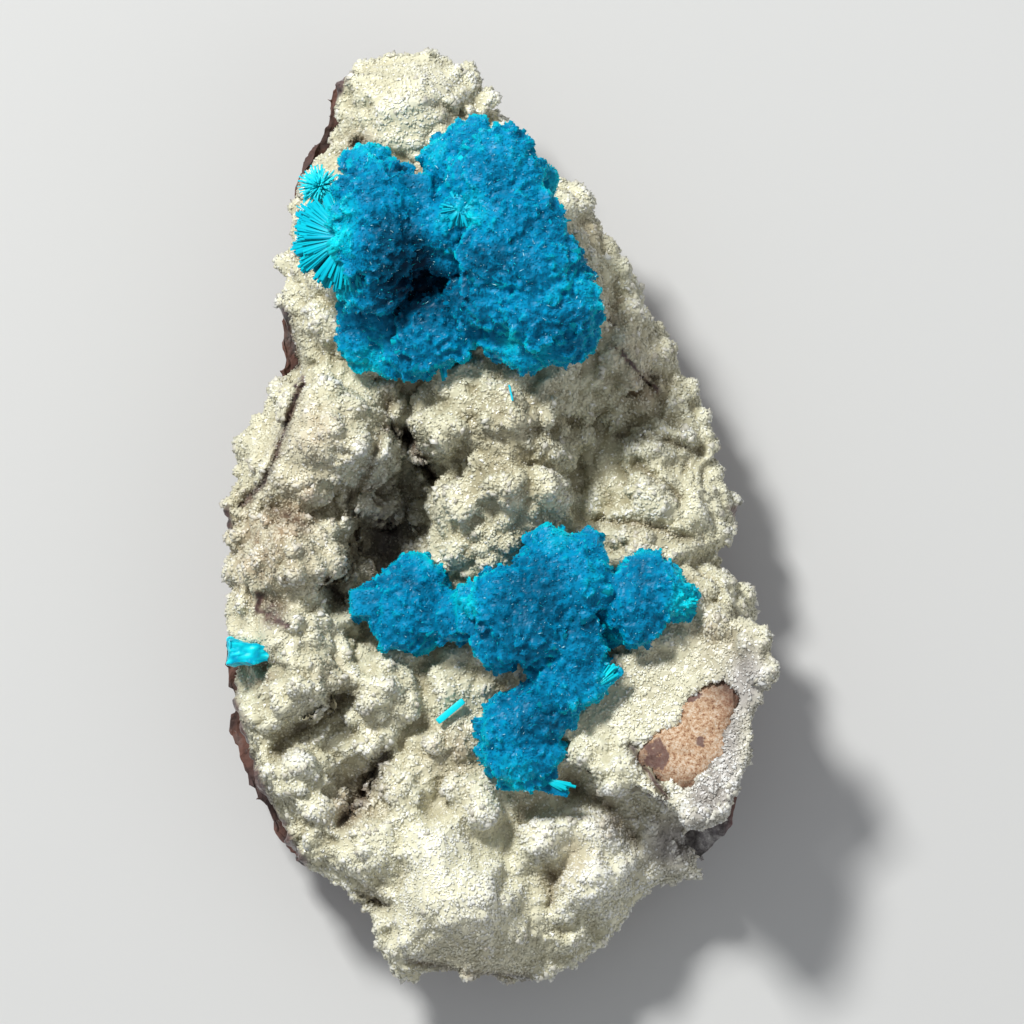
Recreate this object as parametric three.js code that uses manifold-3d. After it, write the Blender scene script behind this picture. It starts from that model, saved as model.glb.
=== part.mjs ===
// A cavansite specimen: rosettes of blue crystals on a crust of small pale zeolite crystals that
// grew over a loose lump of weathered basalt. The lump lies on its broken back.
// Millimetres. The origin is in the flat rest face, +Y points to the narrow end of the lump and
// +Z is up, out of the crystal side.

import * as THREE from 'three';
import { mergeVertices } from 'three/addons/utils/BufferGeometryUtils.js';
import { ImprovedNoise } from 'three/addons/math/ImprovedNoise.js';
import Module from 'manifold-3d';

const wasm = await Module();
wasm.setup();
const noise = new ImprovedNoise();

// ---- driving dimensions ----

const gap = 0.3; // left between pieces that lie against each other
const crustThickness = 2.2; // of the pale crust between its lobes
const rimOverhang = 1.6; // of the crust over the rock's sides, where the outline is its own
const sideRoughness = 0.16; // fall of the rock's broken sides inwards, over their way from its middle
const sideTaper = 0.07; // how far they draw in down to the rest face, over the same way
const creaseDepth = 4; // of the creases between the lobes
const knobHeight = 0.5; // of the small knobs on the lobes
const gridStep = 2.16; // between neighbouring corners of the crust's facets
const gridShake = 0.35; // of the corners out of a regular grid
const gridReach = [29, 48.5]; // half width and half length of the facet grid
const footInset = 3.2; // how far the rest face stays inside the rock's outline
const chamfer = 2.5; // height of the broken corner around the rest face
const hollowFloor = 5; // height of the rock under the cleft
const valleyFloor = 8; // lowest top surface of the crust, in the cleft
const lowReach = 4.4; // how far around a point the rock keeps below the crust
const lowSamples = 12;
const sharpestMiter = 2;
const rimDrop = 5; // how far the crust bends down at the outline
const rimWidth = 5.5; // of the band where it bends
const hollowSpread = 1.3; // how far a hollow's slope runs out, over its radius
const sheetSharpness = 4; // how closely the crust between the lobes follows the nearest one
const sheetSoftness = 0.15; // distance, over a lobe's width, below which that stops
const spaceFlange = 1.3; // width of the room under the crust, over the rock's own

// Outline seen from above, counter-clockwise from +X: x, y, and how far the rock's own side
// stays inside it. The rock shows past the crust where that is 0.
const outline = [
  [24.6, 0.8, 0.3], [23.4, 3.0, 1.2], [21.8, 6.2, 1.6], [21.4, 10.8, 1.6], [17.6, 17.8, 1.4], [14.4, 23.4, 1.6],
  [11.0, 27.8, 1.6], [8.8, 32.4, 1.6], [4.5, 35.3, 1.6], [0.4, 41.6, 1.6], [-3.4, 45.4, 1.6],
  [-7.2, 47.2, 1.6], [-12.0, 46.4, 1.4], [-15.6, 45.0, 0.6], [-17.6, 39.4, 0.3],
  [-20.6, 33.6, 0.3], [-21.4, 26.8, 1.0], [-22.0, 18.6, 0.4], [-23.4, 12.4, 0.8],
  [-26.4, 7.6, 1.2], [-27.4, 0.5, 1.4], [-27.8, -7.6, 1.0], [-27.4, -15.0, 0.2],
  [-26.8, -21.0, 0], [-24.6, -26.6, 0], [-21.8, -32.0, 0], [-19.8, -34.8, 0.6],
  [-14.5, -38.2, 1.6], [-12.2, -42.0, 1.6], [-10.0, -45.6, 1.2], [-3.0, -46.1, 0.6],
  [4.0, -46.3, 0.8], [8.4, -44.8, 1.4], [13.4, -39.8, 1.6], [15.6, -36.6, 0.6],
  [19.5, -35.8, 0], [23.8, -30.9, 0], [24.8, -26.0, 1.0], [26.6, -19.0, 1.0],
  [27.7, -13.6, 1.2], [24.8, -7.8, 1.6], [23.0, -3.4, 1.6], [23.6, -1.2, 1.2],
];

// Lobes of the crust: x, y, height of the top above the rest face, half width, half length,
// half height, turn in degrees.
const topDomeLobes = [
  [-9.2, 41.2, 26.5, 6.6, 6.2, 7, 20], [-4.4, 43.4, 24.5, 3.6, 3.4, 5, 0],
  [-2.2, 41.4, 23.5, 2.5, 2.7, 5, 0], [-13, 43.6, 24, 3.4, 3.2, 5, 0],
  [-13.6, 38.4, 24, 3.6, 3.4, 5, 0], [-6.6, 37.6, 26, 3.6, 3, 5, 0],
  [-0.6, 39.6, 22, 2.2, 2.4, 5, 0],
];
const leftWallLobes = [
  [-19.2, 32.6, 24, 2.3, 3.2, 5, 0], [-19.2, 24.6, 25, 2.8, 3.6, 5, 0],
  [-16.8, 20.2, 26, 3.2, 3.3, 6, 0], [-19.8, 18.4, 22.5, 2.2, 3.2, 5, 0],
  [-24, 7, 21.5, 3.2, 5.2, 6, -12], [-16.4, 9, 29.5, 5.5, 5.2, 9, 10],
  [-19.6, 4.6, 26, 3.8, 3.6, 6, 0], [-12.8, 7.4, 27, 2.6, 3.4, 7, 0],
  [-14, 2.2, 22.5, 2.4, 3, 6, 0], [-20.4, -3.4, 27.5, 5.4, 4.3, 7, -14],
  [-25, -4.4, 23.5, 2.9, 4.4, 6, 0], [-16.6, -4, 25, 2.8, 3.4, 6, 0],
  [-20.6, -10.6, 25.5, 3.6, 3.2, 6, 0], [-25.2, -11.4, 22.5, 2.4, 2.8, 5, 0],
  [-16.6, -10.8, 21.5, 2, 2.5, 4, 0], [-14.2, -9.6, 17.5, 2.3, 2.5, 4, 0],
  [-19.4, -16.2, 25.5, 3.8, 3.6, 6, 0], [-23.6, -19.8, 22.5, 3.1, 3.8, 6, 0],
  [-19, -21.4, 20.5, 2.6, 2.4, 5, 0], [-14.8, -19.2, 18.5, 2.2, 2.1, 4, 0],
  [-20.8, -25.8, 22.5, 4.1, 3.8, 6, 0], [-18.4, -30.2, 21, 3.5, 3.6, 6, 0],
];
const middleRidgeLobes = [
  [0.6, 10.6, 31, 5, 4.8, 10, 0], [-5.2, 9.4, 28.5, 3.4, 3.6, 9, 0],
  [-3.4, 13.2, 29.5, 3.6, 3.4, 8, 0], [4.6, 13, 28.5, 3, 3.2, 8, 0],
  [5.6, 7, 26.5, 2, 2, 7, 0], [3.8, 3, 28, 3.2, 3.2, 8, 0], [0.2, 3.8, 29.5, 3.4, 3.4, 8, 0],
  [-3.8, 1.4, 26, 2.9, 3.2, 9, 0], [0.2, -1.6, 25.5, 3.8, 3.2, 8, 0],
  [-3.6, -3.4, 22, 2.6, 2.4, 7, 0], [-9.4, 12.6, 20.5, 2.6, 2.8, 6, 0],
  [-10, 7.6, 14, 1.7, 1.9, 5, 0], [-8.2, 4.4, 13, 1.8, 1.6, 5, 0],
];
const rightRimLobes = [
  [7.2, 31.6, 24, 2.5, 2.4, 5, 0], [8.9, 28.4, 24, 2.4, 2.4, 5, 0],
  [12, 24.6, 23.5, 2.5, 2.6, 5, 0], [13.8, 20.4, 23.5, 2.9, 2.7, 5, 0],
  [12.6, 16.4, 24, 4.2, 3, 6, -20], [16.8, 16.2, 21.5, 2.3, 2.7, 5, 20],
  [18.8, 12, 20.5, 2.2, 2.2, 5, 0], [20.3, 8, 20.5, 2.4, 2.5, 5, 0],
  [15.8, 7.2, 20.5, 4.2, 1.9, 5, -12], [15.4, 2.8, 22.5, 3.5, 2.9, 5, 10],
  [20.2, 2.8, 21, 3.2, 3, 5, 0], [10.8, 3.6, 18.5, 2.6, 2.6, 5, 0],
  [10.4, -0.4, 19, 2.6, 2.4, 5, 0], [14.2, -2.4, 22.5, 3.4, 3, 5, 0],
  [19.2, -3.4, 22.5, 3.4, 3.3, 6, 0], [22.8, -7.4, 22, 2.5, 3, 6, 0],
  [8.8, 8.4, 16, 1.9, 1.9, 4, 0], [20.5, -8.8, 25.2, 5, 3.8, 7, 0],
  [15, -11.4, 23.4, 4.2, 3.2, 6, 0],
];
const lowerApronLobes = [
  [-11.6, -16.8, 22.5, 4.1, 4.4, 6, 0], [-12.2, -22, 20.5, 2.7, 2.6, 5, 0],
  [-4.4, -16.6, 20.5, 4.4, 3.8, 6, 0], [-4.2, -22, 20.5, 4.4, 3.8, 6, 0],
  [-9.4, -27, 20.5, 3.4, 3.6, 6, 0], [-13.6, -33, 21.5, 4.4, 4, 6, 0],
  [-2.2, -27.6, 21.5, 3.3, 3.2, 6, 0], [-6.4, -32.8, 22.5, 4.2, 3.8, 6, 0],
  [-4.2, -38, 24, 6, 5, 7, -15], [-9.6, -41.6, 21, 4.1, 4, 6, 0],
  [-2.2, -43, 20.5, 4.2, 3.2, 6, 0], [4.4, -32, 19, 4, 3.2, 5, 0],
  [9.4, -30.6, 19, 3.8, 3.2, 5, 0], [3.8, -38.6, 17.5, 2.6, 4.4, 5, 0],
  [9.6, -36, 19.5, 4, 3.8, 5, 0], [6.6, -42.6, 17, 2.7, 3, 5, 0],
  [13.6, -33, 16, 2.6, 2.4, 4, 0],
];
const saddleLobes = [
  [-2, 31, 29, 9, 8, 10, 0], [3, 23, 29, 9, 7.5, 10, 0], [-12.5, 28, 28, 6, 9, 8, 0],
  [-8, 18.6, 24, 6, 5, 6, 0], [3, -9, 22.5, 9, 6.5, 8, 0], [-6, -8.6, 19.5, 6, 4, 6, 0],
  [13, -7.6, 22, 7, 4.6, 7, 0], [5, -18, 20.5, 6, 7.5, 6, 0],
];
const crustLobes = [
  ...topDomeLobes, ...leftWallLobes, ...middleRidgeLobes, ...rightRimLobes, ...lowerApronLobes,
  ...saddleLobes,
];

// Small round floors of the cleft and of the hollow right of the middle ridge: x, y, top, radius.
const hollows = [
  [-8.6, 6.4, 8, 3.6], [-10.8, -1.2, 8.5, 3.8], [-12.2, -5.6, 10, 2.8], [8.2, 6, 13.5, 3.4],
  [-13.4, -27.2, 10, 2.2], [-17, -19.6, 14, 1.8], [14.2, 11, 15, 2.2],
];

// The flat block at the lower right: its outline, and its tilted top.
const blockOutline = [
  [6.3, -21.5], [9, -24.8], [14, -26.5], [16.5, -27.9], [19, -30.4], [22, -28.8], [23.4, -24.4],
  [24.2, -18.6], [26.4, -16.6], [27.4, -13.6], [25.4, -10.4], [21, -9.4], [16.4, -11.2],
  [12.4, -13.2], [9.2, -16.4],
];
const blockMiddle = [17, -20];
const blockTop = 24.5; // at its middle
const blockSlope = [0.22, -0.16]; // rise per millimetre along x and along y
const blockBase = 8;
const blockFlare = 0.16; // how far its sides run out at the base, over their distance from its middle
const blockCap = 2.6; // depth of the crust's lip around it
const blockSkin = 1.1; // crust on its top
const blockRim = 0.8; // crust on its sides, in the lip
const barePatch = [
  [15.5, -24.6], [18.5, -26.3], [19, -25.5], [20.5, -24.2], [20.9, -22.4], [23, -17.9],
  [23, -16.1], [20, -17], [18.7, -18.6], [18.2, -20.6], [15.5, -21.8], [14, -23],
];
const patchSunk = 0.3; // below the crust around it
const patchShaft = 3;

// Broken edges where the crust is missing and the rock shows: x, y, z, three half sizes, turn.
const brokenEdges = [
  [-18.6, 39.4, 21, 1.3, 5, 9, -22], [-21.4, 16.6, 20, 1.1, 4, 8, 4],
  [-27.2, -20.6, 12, 2, 8, 10, -12], [-23.4, -30.8, 12, 1.6, 5, 10, -28],
  [21.4, -33.2, 14, 4.6, 3.6, 9, -30], [25.4, 1, 16, 2.2, 1.8, 9, 0],
  [26.4, -21.5, 16, 2.2, 5, 9, -10],
  [15, 13.6, 16.8, 2.6, 0.9, 4, 15],
];

// Rosettes of the two groups: x, y, height of the top, radius.
const upperRosettes = [
  [-12.2, 29.8, 40, 5.2], [-12.8, 35, 37, 3.3], [-12.6, 23.8, 36, 4.2], [-13.4, 18.6, 28, 3.2],
  [-7.4, 29.2, 38, 4.1], [-3.2, 31.2, 39, 4.1], [-2.8, 36.4, 38.5, 4.2], [2.2, 35.2, 41, 4.8],
  [1.2, 29.6, 41.8, 4.8], [5.6, 27.8, 40.6, 4.6], [-1, 24.6, 39.4, 4.6], [5.2, 22.6, 40.2, 5.4],
  [3.8, 18, 35.5, 4], [-6.4, 19.2, 33.4, 4.8], [-10.6, 17.6, 30, 3.3], [-7.4, 24.6, 31.5, 4.8],
  [-1.2, 19.8, 34.5, 3.6],
];
const lowerRosettes = [
  [-8.8, -8.2, 25.5, 4.5], [-4, -9.2, 26, 3.6], [1.2, -9.8, 31, 5.2], [6.4, -4.6, 30, 4.7],
  [7.2, -9.8, 30.5, 4.3], [7.6, -14.8, 29, 4.5], [5.6, -18.8, 27, 3.8], [2, -21.8, 26.4, 4.4],
  [2.8, -25.2, 22.5, 2.6], [11.2, -8.4, 27.4, 2.9], [15.2, -7.6, 29.6, 5],
];
const fineRosette = 4.6; // radius from which a rosette has more crystals
const rosetteCore = 0.84; // core radius over the radius at the crystal tips
const upperDepth = 1.7; // height of a rosette over its width, where the upper ones stand on tall roots
const lowerDepth = 1.25;
const tipUnevenness = 0.14; // between the tips of one rosette, over its radius
const tipGrain = 4; // noise cells per radius

// Blades that stand out of the groups: root x, y, z, tip x, y, z, width.
const upperBlades = [
  [-14.6, 28.2, 31, -20.4, 29.4, 29.5, 2.2], [-14.6, 28, 31, -20, 27, 29.5, 2.2],
  [-14.6, 28.4, 31, -18.6, 31.4, 30, 1.8], [-14.8, 27.6, 31, -18.2, 24.6, 29, 1.8],
  [-11, 15, 26, -13.4, 13.6, 24.5, 1.4], [-2.6, 38.6, 35, -2.6, 40.6, 34.5, 1.4],
  [5.6, 34, 35, 7.2, 34.8, 34, 1.2], [8.8, 21.6, 33, 10.9, 21, 32.5, 1.6],
];
const lowerBlades = [
  [-10.6, -8.2, 22, -14.6, -8.4, 20.6, 2.4], [16.8, -7.8, 25.5, 19.8, -7.9, 25, 2],
  [9.6, -17, 24.5, 12.8, -14.2, 24, 1.4], [3.6, -25.4, 20.5, 7.6, -27, 20.2, 1.4],
  [2.4, -25, 20.5, 1.4, -26.8, 20, 2.2], [4, -25, 20.5, 4.4, -26.8, 20, 2.2],
];
const bladeThickness = 0.8;

const loosePrism = { from: [-6, -20.1, 20.5], to: [-3.2, -17.8, 20.5], width: 0.5 };
const tinyNeedle = { from: [1.1, 13.6, 31.2], to: [1.5, 11.8, 31.7], width: 0.3 };
const wedge = {
  x: -24.9, y: -13.2, bottom: 18, top: 23.6, length: 4.2, width: 2.6, turn: -4, taper: 0.4, fall: 0.9,
};
const spray = {
  x: -18.2, y: 33.4, z: 24.7, blades: 7, length: 2.1, width: 1, thickness: 0.6, fan: 310, lift: 0.6,
  knot: 0.9,
};

// ---- materials ----

const basaltLook = new THREE.MeshStandardMaterial({ color: 0x6b524c, roughness: 0.9, metalness: 0 });
const crustLook = new THREE.MeshStandardMaterial({ color: 0xdad7bb, roughness: 0.55, metalness: 0 });
const cavansiteLook = new THREE.MeshStandardMaterial({ color: 0x0a80ab, roughness: 0.4, metalness: 0 });
const paleLook = new THREE.MeshStandardMaterial({ color: 0x35c6dc, roughness: 0.4, metalness: 0 });

// ---- solids ----

function manifoldOf(geometry) {
  const vertProperties = new Float32Array(geometry.attributes.position.array);
  const triVerts = new Uint32Array(geometry.index.array);
  return new wasm.Manifold(new wasm.Mesh({ numProp: 3, vertProperties, triVerts }));
}

function solidOf(geometry) {
  const bare = geometry.clone();
  bare.deleteAttribute('normal');
  bare.deleteAttribute('uv');
  return manifoldOf(mergeVertices(bare, 1e-4));
}

function geometryOf(solid) {
  const { vertProperties, triVerts } = solid.getMesh();
  const geometry = new THREE.BufferGeometry();
  geometry.setAttribute('position', new THREE.BufferAttribute(vertProperties, 3));
  geometry.setIndex(new THREE.BufferAttribute(triVerts, 1));
  geometry.computeVertexNormals();
  return geometry;
}

function unite(solids) {
  return solids.reduce((all, solid) => all.add(solid));
}

// The one body that is kept, without the crumbs that a cut leaves behind.
function largestPart(solid) {
  const parts = solid.decompose();
  return parts.reduce((best, part) => (part.volume() > best.volume() ? part : best));
}

function meshOf(name, solid, material) {
  const mesh = new THREE.Mesh(geometryOf(solid), material);
  mesh.name = name;
  return mesh;
}

function moveVertices(geometry, place) {
  const position = geometry.attributes.position;
  const point = new THREE.Vector3();
  for (let i = 0; i < position.count; i += 1) {
    point.fromBufferAttribute(position, i);
    place(point, i);
    position.setXYZ(i, point.x, point.y, point.z);
  }
  return geometry;
}

function turnedTo(geometry, from, direction) {
  const turn = new THREE.Quaternion().setFromUnitVectors(from, direction.clone().normalize());
  return geometry.applyQuaternion(turn);
}

// The points of a counter-clockwise outline, each moved outwards by its own distance.
function offsetPoints(points, distanceAt) {
  return points.map(([x, y], i) => {
    const [lastX, lastY] = points.at(i - 1);
    const [nextX, nextY] = points[(i + 1) % points.length];
    const before = new THREE.Vector2(y - lastY, lastX - x).normalize();
    const after = new THREE.Vector2(nextY - y, x - nextX).normalize();
    const normal = before.clone().add(after).normalize();
    const reach = distanceAt(i) * Math.min(1 / normal.dot(before), sharpestMiter);
    return [x + normal.x * reach, y + normal.y * reach];
  });
}

// ---- surface heights ----

const knobScale = 0.45; // noise cells per millimetre
const shakeScale = 1.7;
const outlineSides = outline.map(([x, y], i) => {
  const [nextX, nextY] = outline[(i + 1) % outline.length];
  return new THREE.Line3(new THREE.Vector3(x, y, 0), new THREE.Vector3(nextX, nextY, 0));
});

// Height of an ellipsoid's upper side at x, y, or -Infinity beside it.
function lobeHeight([cx, cy, top, rx, ry, rz, turn], x, y) {
  const angle = THREE.MathUtils.degToRad(turn);
  const dx = Math.cos(angle) * (x - cx) + Math.sin(angle) * (y - cy);
  const dy = Math.cos(angle) * (y - cy) - Math.sin(angle) * (x - cx);
  const inside = 1 - (dx / rx) ** 2 - (dy / ry) ** 2;
  return inside > 0 ? top - rz + rz * Math.sqrt(inside) : -Infinity;
}

// The crust's top between and below its lobes: a mean of the lobes around, sunk in the hollows.
function sheetHeight(x, y) {
  let weightSum = 0;
  let heightSum = 0;
  for (const [cx, cy, top, rx, ry] of crustLobes) {
    const distance = Math.hypot(x - cx, y - cy);
    const weight = 1 / (distance / (rx + ry) + sheetSoftness) ** sheetSharpness;
    weightSum += weight;
    heightSum += weight * (top - creaseDepth);
  }
  let height = heightSum / weightSum;
  for (const [cx, cy, floor, radius] of hollows) {
    const pull = Math.exp(-(((x - cx) ** 2 + (y - cy) ** 2) / (radius * hollowSpread) ** 2));
    height += pull * (floor - height);
  }
  return Math.max(height, valleyFloor);
}

// Distance from x, y to the nearest side of the outline.
function rimDistance(x, y) {
  const point = new THREE.Vector3(x, y, 0);
  const nearest = new THREE.Vector3();
  const distances = outlineSides.map((side) => {
    side.closestPointToPoint(point, true, nearest);
    return nearest.distanceTo(point);
  });
  return Math.min(...distances);
}

// The crust's whole top: the highest lobe or the sheet, bent down at the outline, with small knobs.
function crustHeight(x, y) {
  const lobes = crustLobes.map((lobe) => lobeHeight(lobe, x, y));
  const knobs = knobHeight * noise.noise(x * knobScale, y * knobScale, 3.3);
  const bend = rimDrop * (1 - Math.min(rimDistance(x, y) / rimWidth, 1)) ** 2;
  return Math.max(sheetHeight(x, y), ...lobes) - bend + knobs;
}

// The lowest crust around x, y, which the rock stays below.
function lowHeight(x, y) {
  const heights = [crustHeight(x, y)];
  for (let i = 0; i < lowSamples; i += 1) {
    const angle = (i / lowSamples) * 2 * Math.PI;
    const reach = i % 2 ? lowReach : lowReach / 2;
    heights.push(crustHeight(x + reach * Math.cos(angle), y + reach * Math.sin(angle)));
  }
  return Math.min(...heights);
}

// ---- the rock and the crust ----

const topRows = [0, 0.4, 0.65, 0.85, 1]; // of the rock, over the way from its middle to its rim
const rimShare = 0.95; // where the height of the rim is taken
const sideRings = 3;
const sideScale = 0.17; // noise cells per millimetre

// Height of the rock's top on the way from its middle to a rim point.
function rockTop([x, y], share) {
  const rimHeight = lowHeight(x * rimShare, y * rimShare) - crustThickness;
  return THREE.MathUtils.lerp(hollowFloor, rimHeight, share ** 3);
}

// A closed body of rings on the rim: rings of the rock's top, then rings given by sideRing, which
// places a rim point on one ring, and a flat bottom.
function ringBody(rim, sideCount, sideRing, bottom) {
  const columns = rim.length;
  const rows = topRows.length + sideCount;
  const shape = new THREE.SphereGeometry(1, columns, rows);
  moveVertices(shape, (point, i) => {
    const row = Math.floor(i / (columns + 1));
    const corner = rim[(i % (columns + 1)) % columns];
    if (row === rows) {
      point.set(0, 0, bottom);
    } else if (row < topRows.length) {
      const share = topRows[row];
      point.set(corner[0] * share, corner[1] * share, rockTop(corner, share));
    } else {
      point.set(...sideRing(corner, row - topRows.length));
    }
  });
  return solidOf(shape);
}

const rockRim = offsetPoints(outline, (i) => -outline[i][2]);

// The lump of rock with its broken sides and its flat rest face.
function lumpBody() {
  const sideRing = ([x, y], ring) => {
    if (ring === sideRings) {
      const foot = 1 - sideTaper - footInset / Math.hypot(x, y);
      return [x * foot, y * foot, 0];
    }
    const drop = (ring + 1) / sideRings;
    const fallIn = 0.5 + 0.5 * noise.noise(x * sideScale, y * sideScale, ring * 1.3);
    const rough = 1 - sideTaper * drop ** 2 - sideRoughness * fallIn ** 2;
    return [x * rough, y * rough, THREE.MathUtils.lerp(rockTop([x, y], 1), chamfer, drop)];
  };
  return ringBody(rockRim, sideRings + 1, sideRing, 0);
}

// The room that the crust leaves to the lump: all below its top, and below the rim beside it.
function lumpSpace() {
  const sideRing = ([x, y], ring) => {
    return [x * spaceFlange, y * spaceFlange, ring ? -blockBase : rockTop([x, y], 1)];
  };
  return ringBody(rockRim, 2, sideRing, -blockBase).translate([0, 0, gap]);
}

// A slab whose top is a grid of facets on crustHeight, and whose side stays inside the outline.
function crustSlab(insetAt) {
  const [across, along] = [2 * gridReach[0], 2 * gridReach[1]];
  const [columns, rows] = [Math.round(across / gridStep), Math.round(along / gridStep)];
  const shape = new THREE.BoxGeometry(across, along, 1, columns, rows, 1);
  moveVertices(shape, (point) => {
    const { x, y } = point;
    point.x += gridShake * noise.noise(x * shakeScale, y * shakeScale, 1.5);
    point.y += gridShake * noise.noise(x * shakeScale, y * shakeScale, 8.5);
    point.z = point.z > 0 ? crustHeight(point.x, point.y) : 0;
  });
  const rim = offsetPoints(outline, (i) => -insetAt(i));
  return solidOf(shape).intersect(prismBody(rim, () => 0, () => 2 * blockTop));
}

// A prism on the points between two surfaces that give a height at x, y. Its foot runs out from
// the middle of the block by the share flare.
function prismBody(points, bottomAt, topAt, flare = 0) {
  const profile = new THREE.Shape(points.map(([x, y]) => new THREE.Vector2(x, y)));
  const shape = new THREE.ExtrudeGeometry(profile, { depth: 1, bevelEnabled: false });
  const [middleX, middleY] = blockMiddle;
  moveVertices(shape, (point) => {
    const { x, y } = point;
    if (point.z > 0.5) {
      point.z = topAt(x, y);
    } else {
      point.set(x + flare * (x - middleX), y + flare * (y - middleY), bottomAt(x, y));
    }
  });
  return solidOf(shape);
}

// The block's flat tilted top.
function blockHeight(x, y) {
  return blockTop + blockSlope[0] * (x - blockMiddle[0]) + blockSlope[1] * (y - blockMiddle[1]);
}

// The block of rock, wider and higher by the given distance.
function blockBody(grow) {
  const points = offsetPoints(blockOutline, () => grow - blockRim);
  return prismBody(points, () => blockBase, (x, y) => blockHeight(x, y) - blockSkin + grow, blockFlare);
}

// The bare rock in the block's top, wider by one distance and risen by another.
function patchBody(grow, rise) {
  const points = offsetPoints(barePatch, () => grow);
  return prismBody(points, () => blockBase, (x, y) => blockHeight(x, y) + rise);
}

// The block's top with its crust, wider and higher by the given distance.
function blockLid(grow, depth) {
  const points = offsetPoints(blockOutline, () => grow);
  return prismBody(points, (x, y) => blockHeight(x, y) - depth, (x, y) => blockHeight(x, y) + grow);
}

function edgeCut([x, y, z, rx, ry, rz, turn]) {
  const shape = new THREE.IcosahedronGeometry(1, 1);
  shape.scale(rx, ry, rz);
  shape.rotateZ(THREE.MathUtils.degToRad(turn));
  shape.translate(x, y, z);
  return solidOf(shape);
}

const rock = unite([lumpBody(), blockBody(0), patchBody(0, -patchSunk)]);
const rockSpace = unite([lumpSpace(), blockBody(gap), patchBody(gap, patchShaft)]);
const edgeSpace = unite(brokenEdges.map(edgeCut));
const wholeCrust = crustSlab((i) => rimOverhang - outline[i][2]).add(blockLid(0, blockCap));
const crust = largestPart(wholeCrust.subtract(edgeSpace).subtract(rockSpace));

// ---- the cavansite ----

// A ball of close crystals: every face of a coarse ball carries one pointed crystal.
function rosetteBody([x, y, top, radius], index, depth) {
  const fine = radius > fineRosette;
  const ball = fine ? new THREE.OctahedronGeometry(1, 1) : new THREE.IcosahedronGeometry(1, 0);
  const corners = ball.attributes.position;
  const spikes = [];
  for (let face = 0; face < corners.count; face += 3) {
    const [a, b, c] = [0, 1, 2].map((k) => new THREE.Vector3().fromBufferAttribute(corners, face + k));
    const tip = new THREE.Vector3().add(a).add(b).add(c).normalize();
    const uneven = noise.noise(tip.x * tipGrain + index, tip.y * tipGrain, tip.z * tipGrain);
    const reach = 1 + tipUnevenness * (uneven - 0.5);
    tip.multiplyScalar(reach / rosetteCore);
    spikes.push(a, b, tip, b, c, tip, c, a, tip);
  }
  const shape = new THREE.BufferGeometry().setFromPoints(spikes);
  shape.rotateZ(index);
  shape.scale(radius * rosetteCore, radius * rosetteCore, radius * rosetteCore * depth);
  shape.translate(x, y, top - radius * depth);
  return solidOf(shape);
}

// Rows of a flat crystal from root to tip: place along it, and shares of its width and thickness.
const bladeRows = [[0, 0.45, 1], [0.8, 1, 1], [1, 0.5, 0.2]];

// A flat crystal, narrow at the root and ending in a chisel edge.
function bladeBody([x0, y0, z0, x1, y1, z1, width], thickness) {
  const root = new THREE.Vector3(x0, y0, z0);
  const reach = new THREE.Vector3(x1, y1, z1).sub(root);
  const steps = bladeRows.length - 1;
  const shape = new THREE.BoxGeometry(width, thickness, 1, 1, 1, steps);
  moveVertices(shape, (point) => {
    const [place, wide, thick] = bladeRows[Math.round((point.z + 0.5) * steps)];
    point.set(point.x * wide, point.y * thick, place * reach.length());
  });
  turnedTo(shape, new THREE.Vector3(0, 0, 1), reach);
  shape.translate(x0, y0, z0);
  return solidOf(shape);
}

const crustSpace = crustSlab(() => -gap).translate([0, 0, gap]).add(blockLid(gap, blockTop / 2));

// The part of a solid that stands clear of the crust.
function seated(solid) {
  return largestPart(solid.subtract(crustSpace));
}

// Rosettes and blades grown together.
function clusterBody(rosettes, blades, depth) {
  const balls = rosettes.map((rosette, index) => rosetteBody(rosette, index, depth));
  const flats = blades.map((blade) => bladeBody(blade, bladeThickness));
  return seated(unite([...balls, ...flats]));
}

// A six-sided needle, which lies on the crust or stands in it.
function needleBody({ from, to, width }) {
  const root = new THREE.Vector3(...from);
  const reach = new THREE.Vector3(...to).sub(root);
  const shape = new THREE.CylinderGeometry(width / 2, width / 2, reach.length(), 6);
  turnedTo(shape, new THREE.Vector3(0, 1, 0), reach);
  const middle = root.addScaledVector(reach, 0.5);
  shape.translate(middle.x, middle.y, middle.z);
  return seated(solidOf(shape));
}

// The thick tapered crystal at the left edge.
function wedgeBody() {
  const { x, y, bottom, top, length, width, turn, taper, fall } = wedge;
  const shape = new THREE.BoxGeometry(length, width, top - bottom, 2, 1, 1);
  moveVertices(shape, (point) => {
    const share = point.x / length + 0.5;
    point.y *= 1 - taper * share;
    point.z -= point.z > 0 ? fall * share ** 2 : 0;
  });
  shape.rotateZ(THREE.MathUtils.degToRad(turn));
  shape.translate(x, y, (bottom + top) / 2);
  return seated(solidOf(shape));
}

// The small spray of blades by itself.
function sprayBody() {
  const { x, y, z, blades, length, width, thickness, fan, lift, knot } = spray;
  const core = new THREE.IcosahedronGeometry(knot, 0);
  core.translate(x, y, z - knot);
  const solids = [solidOf(core)];
  for (let i = 0; i < blades; i += 1) {
    const angle = THREE.MathUtils.degToRad((i / blades) * fan);
    const reach = i % 2 ? length : length * 0.75;
    const tip = [x + reach * Math.cos(angle), y + reach * Math.sin(angle), i % 2 ? z : z + lift];
    solids.push(bladeBody([x, y, z - knot, ...tip, width], thickness));
  }
  return seated(unite(solids));
}

// ---- the specimen ----

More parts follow.
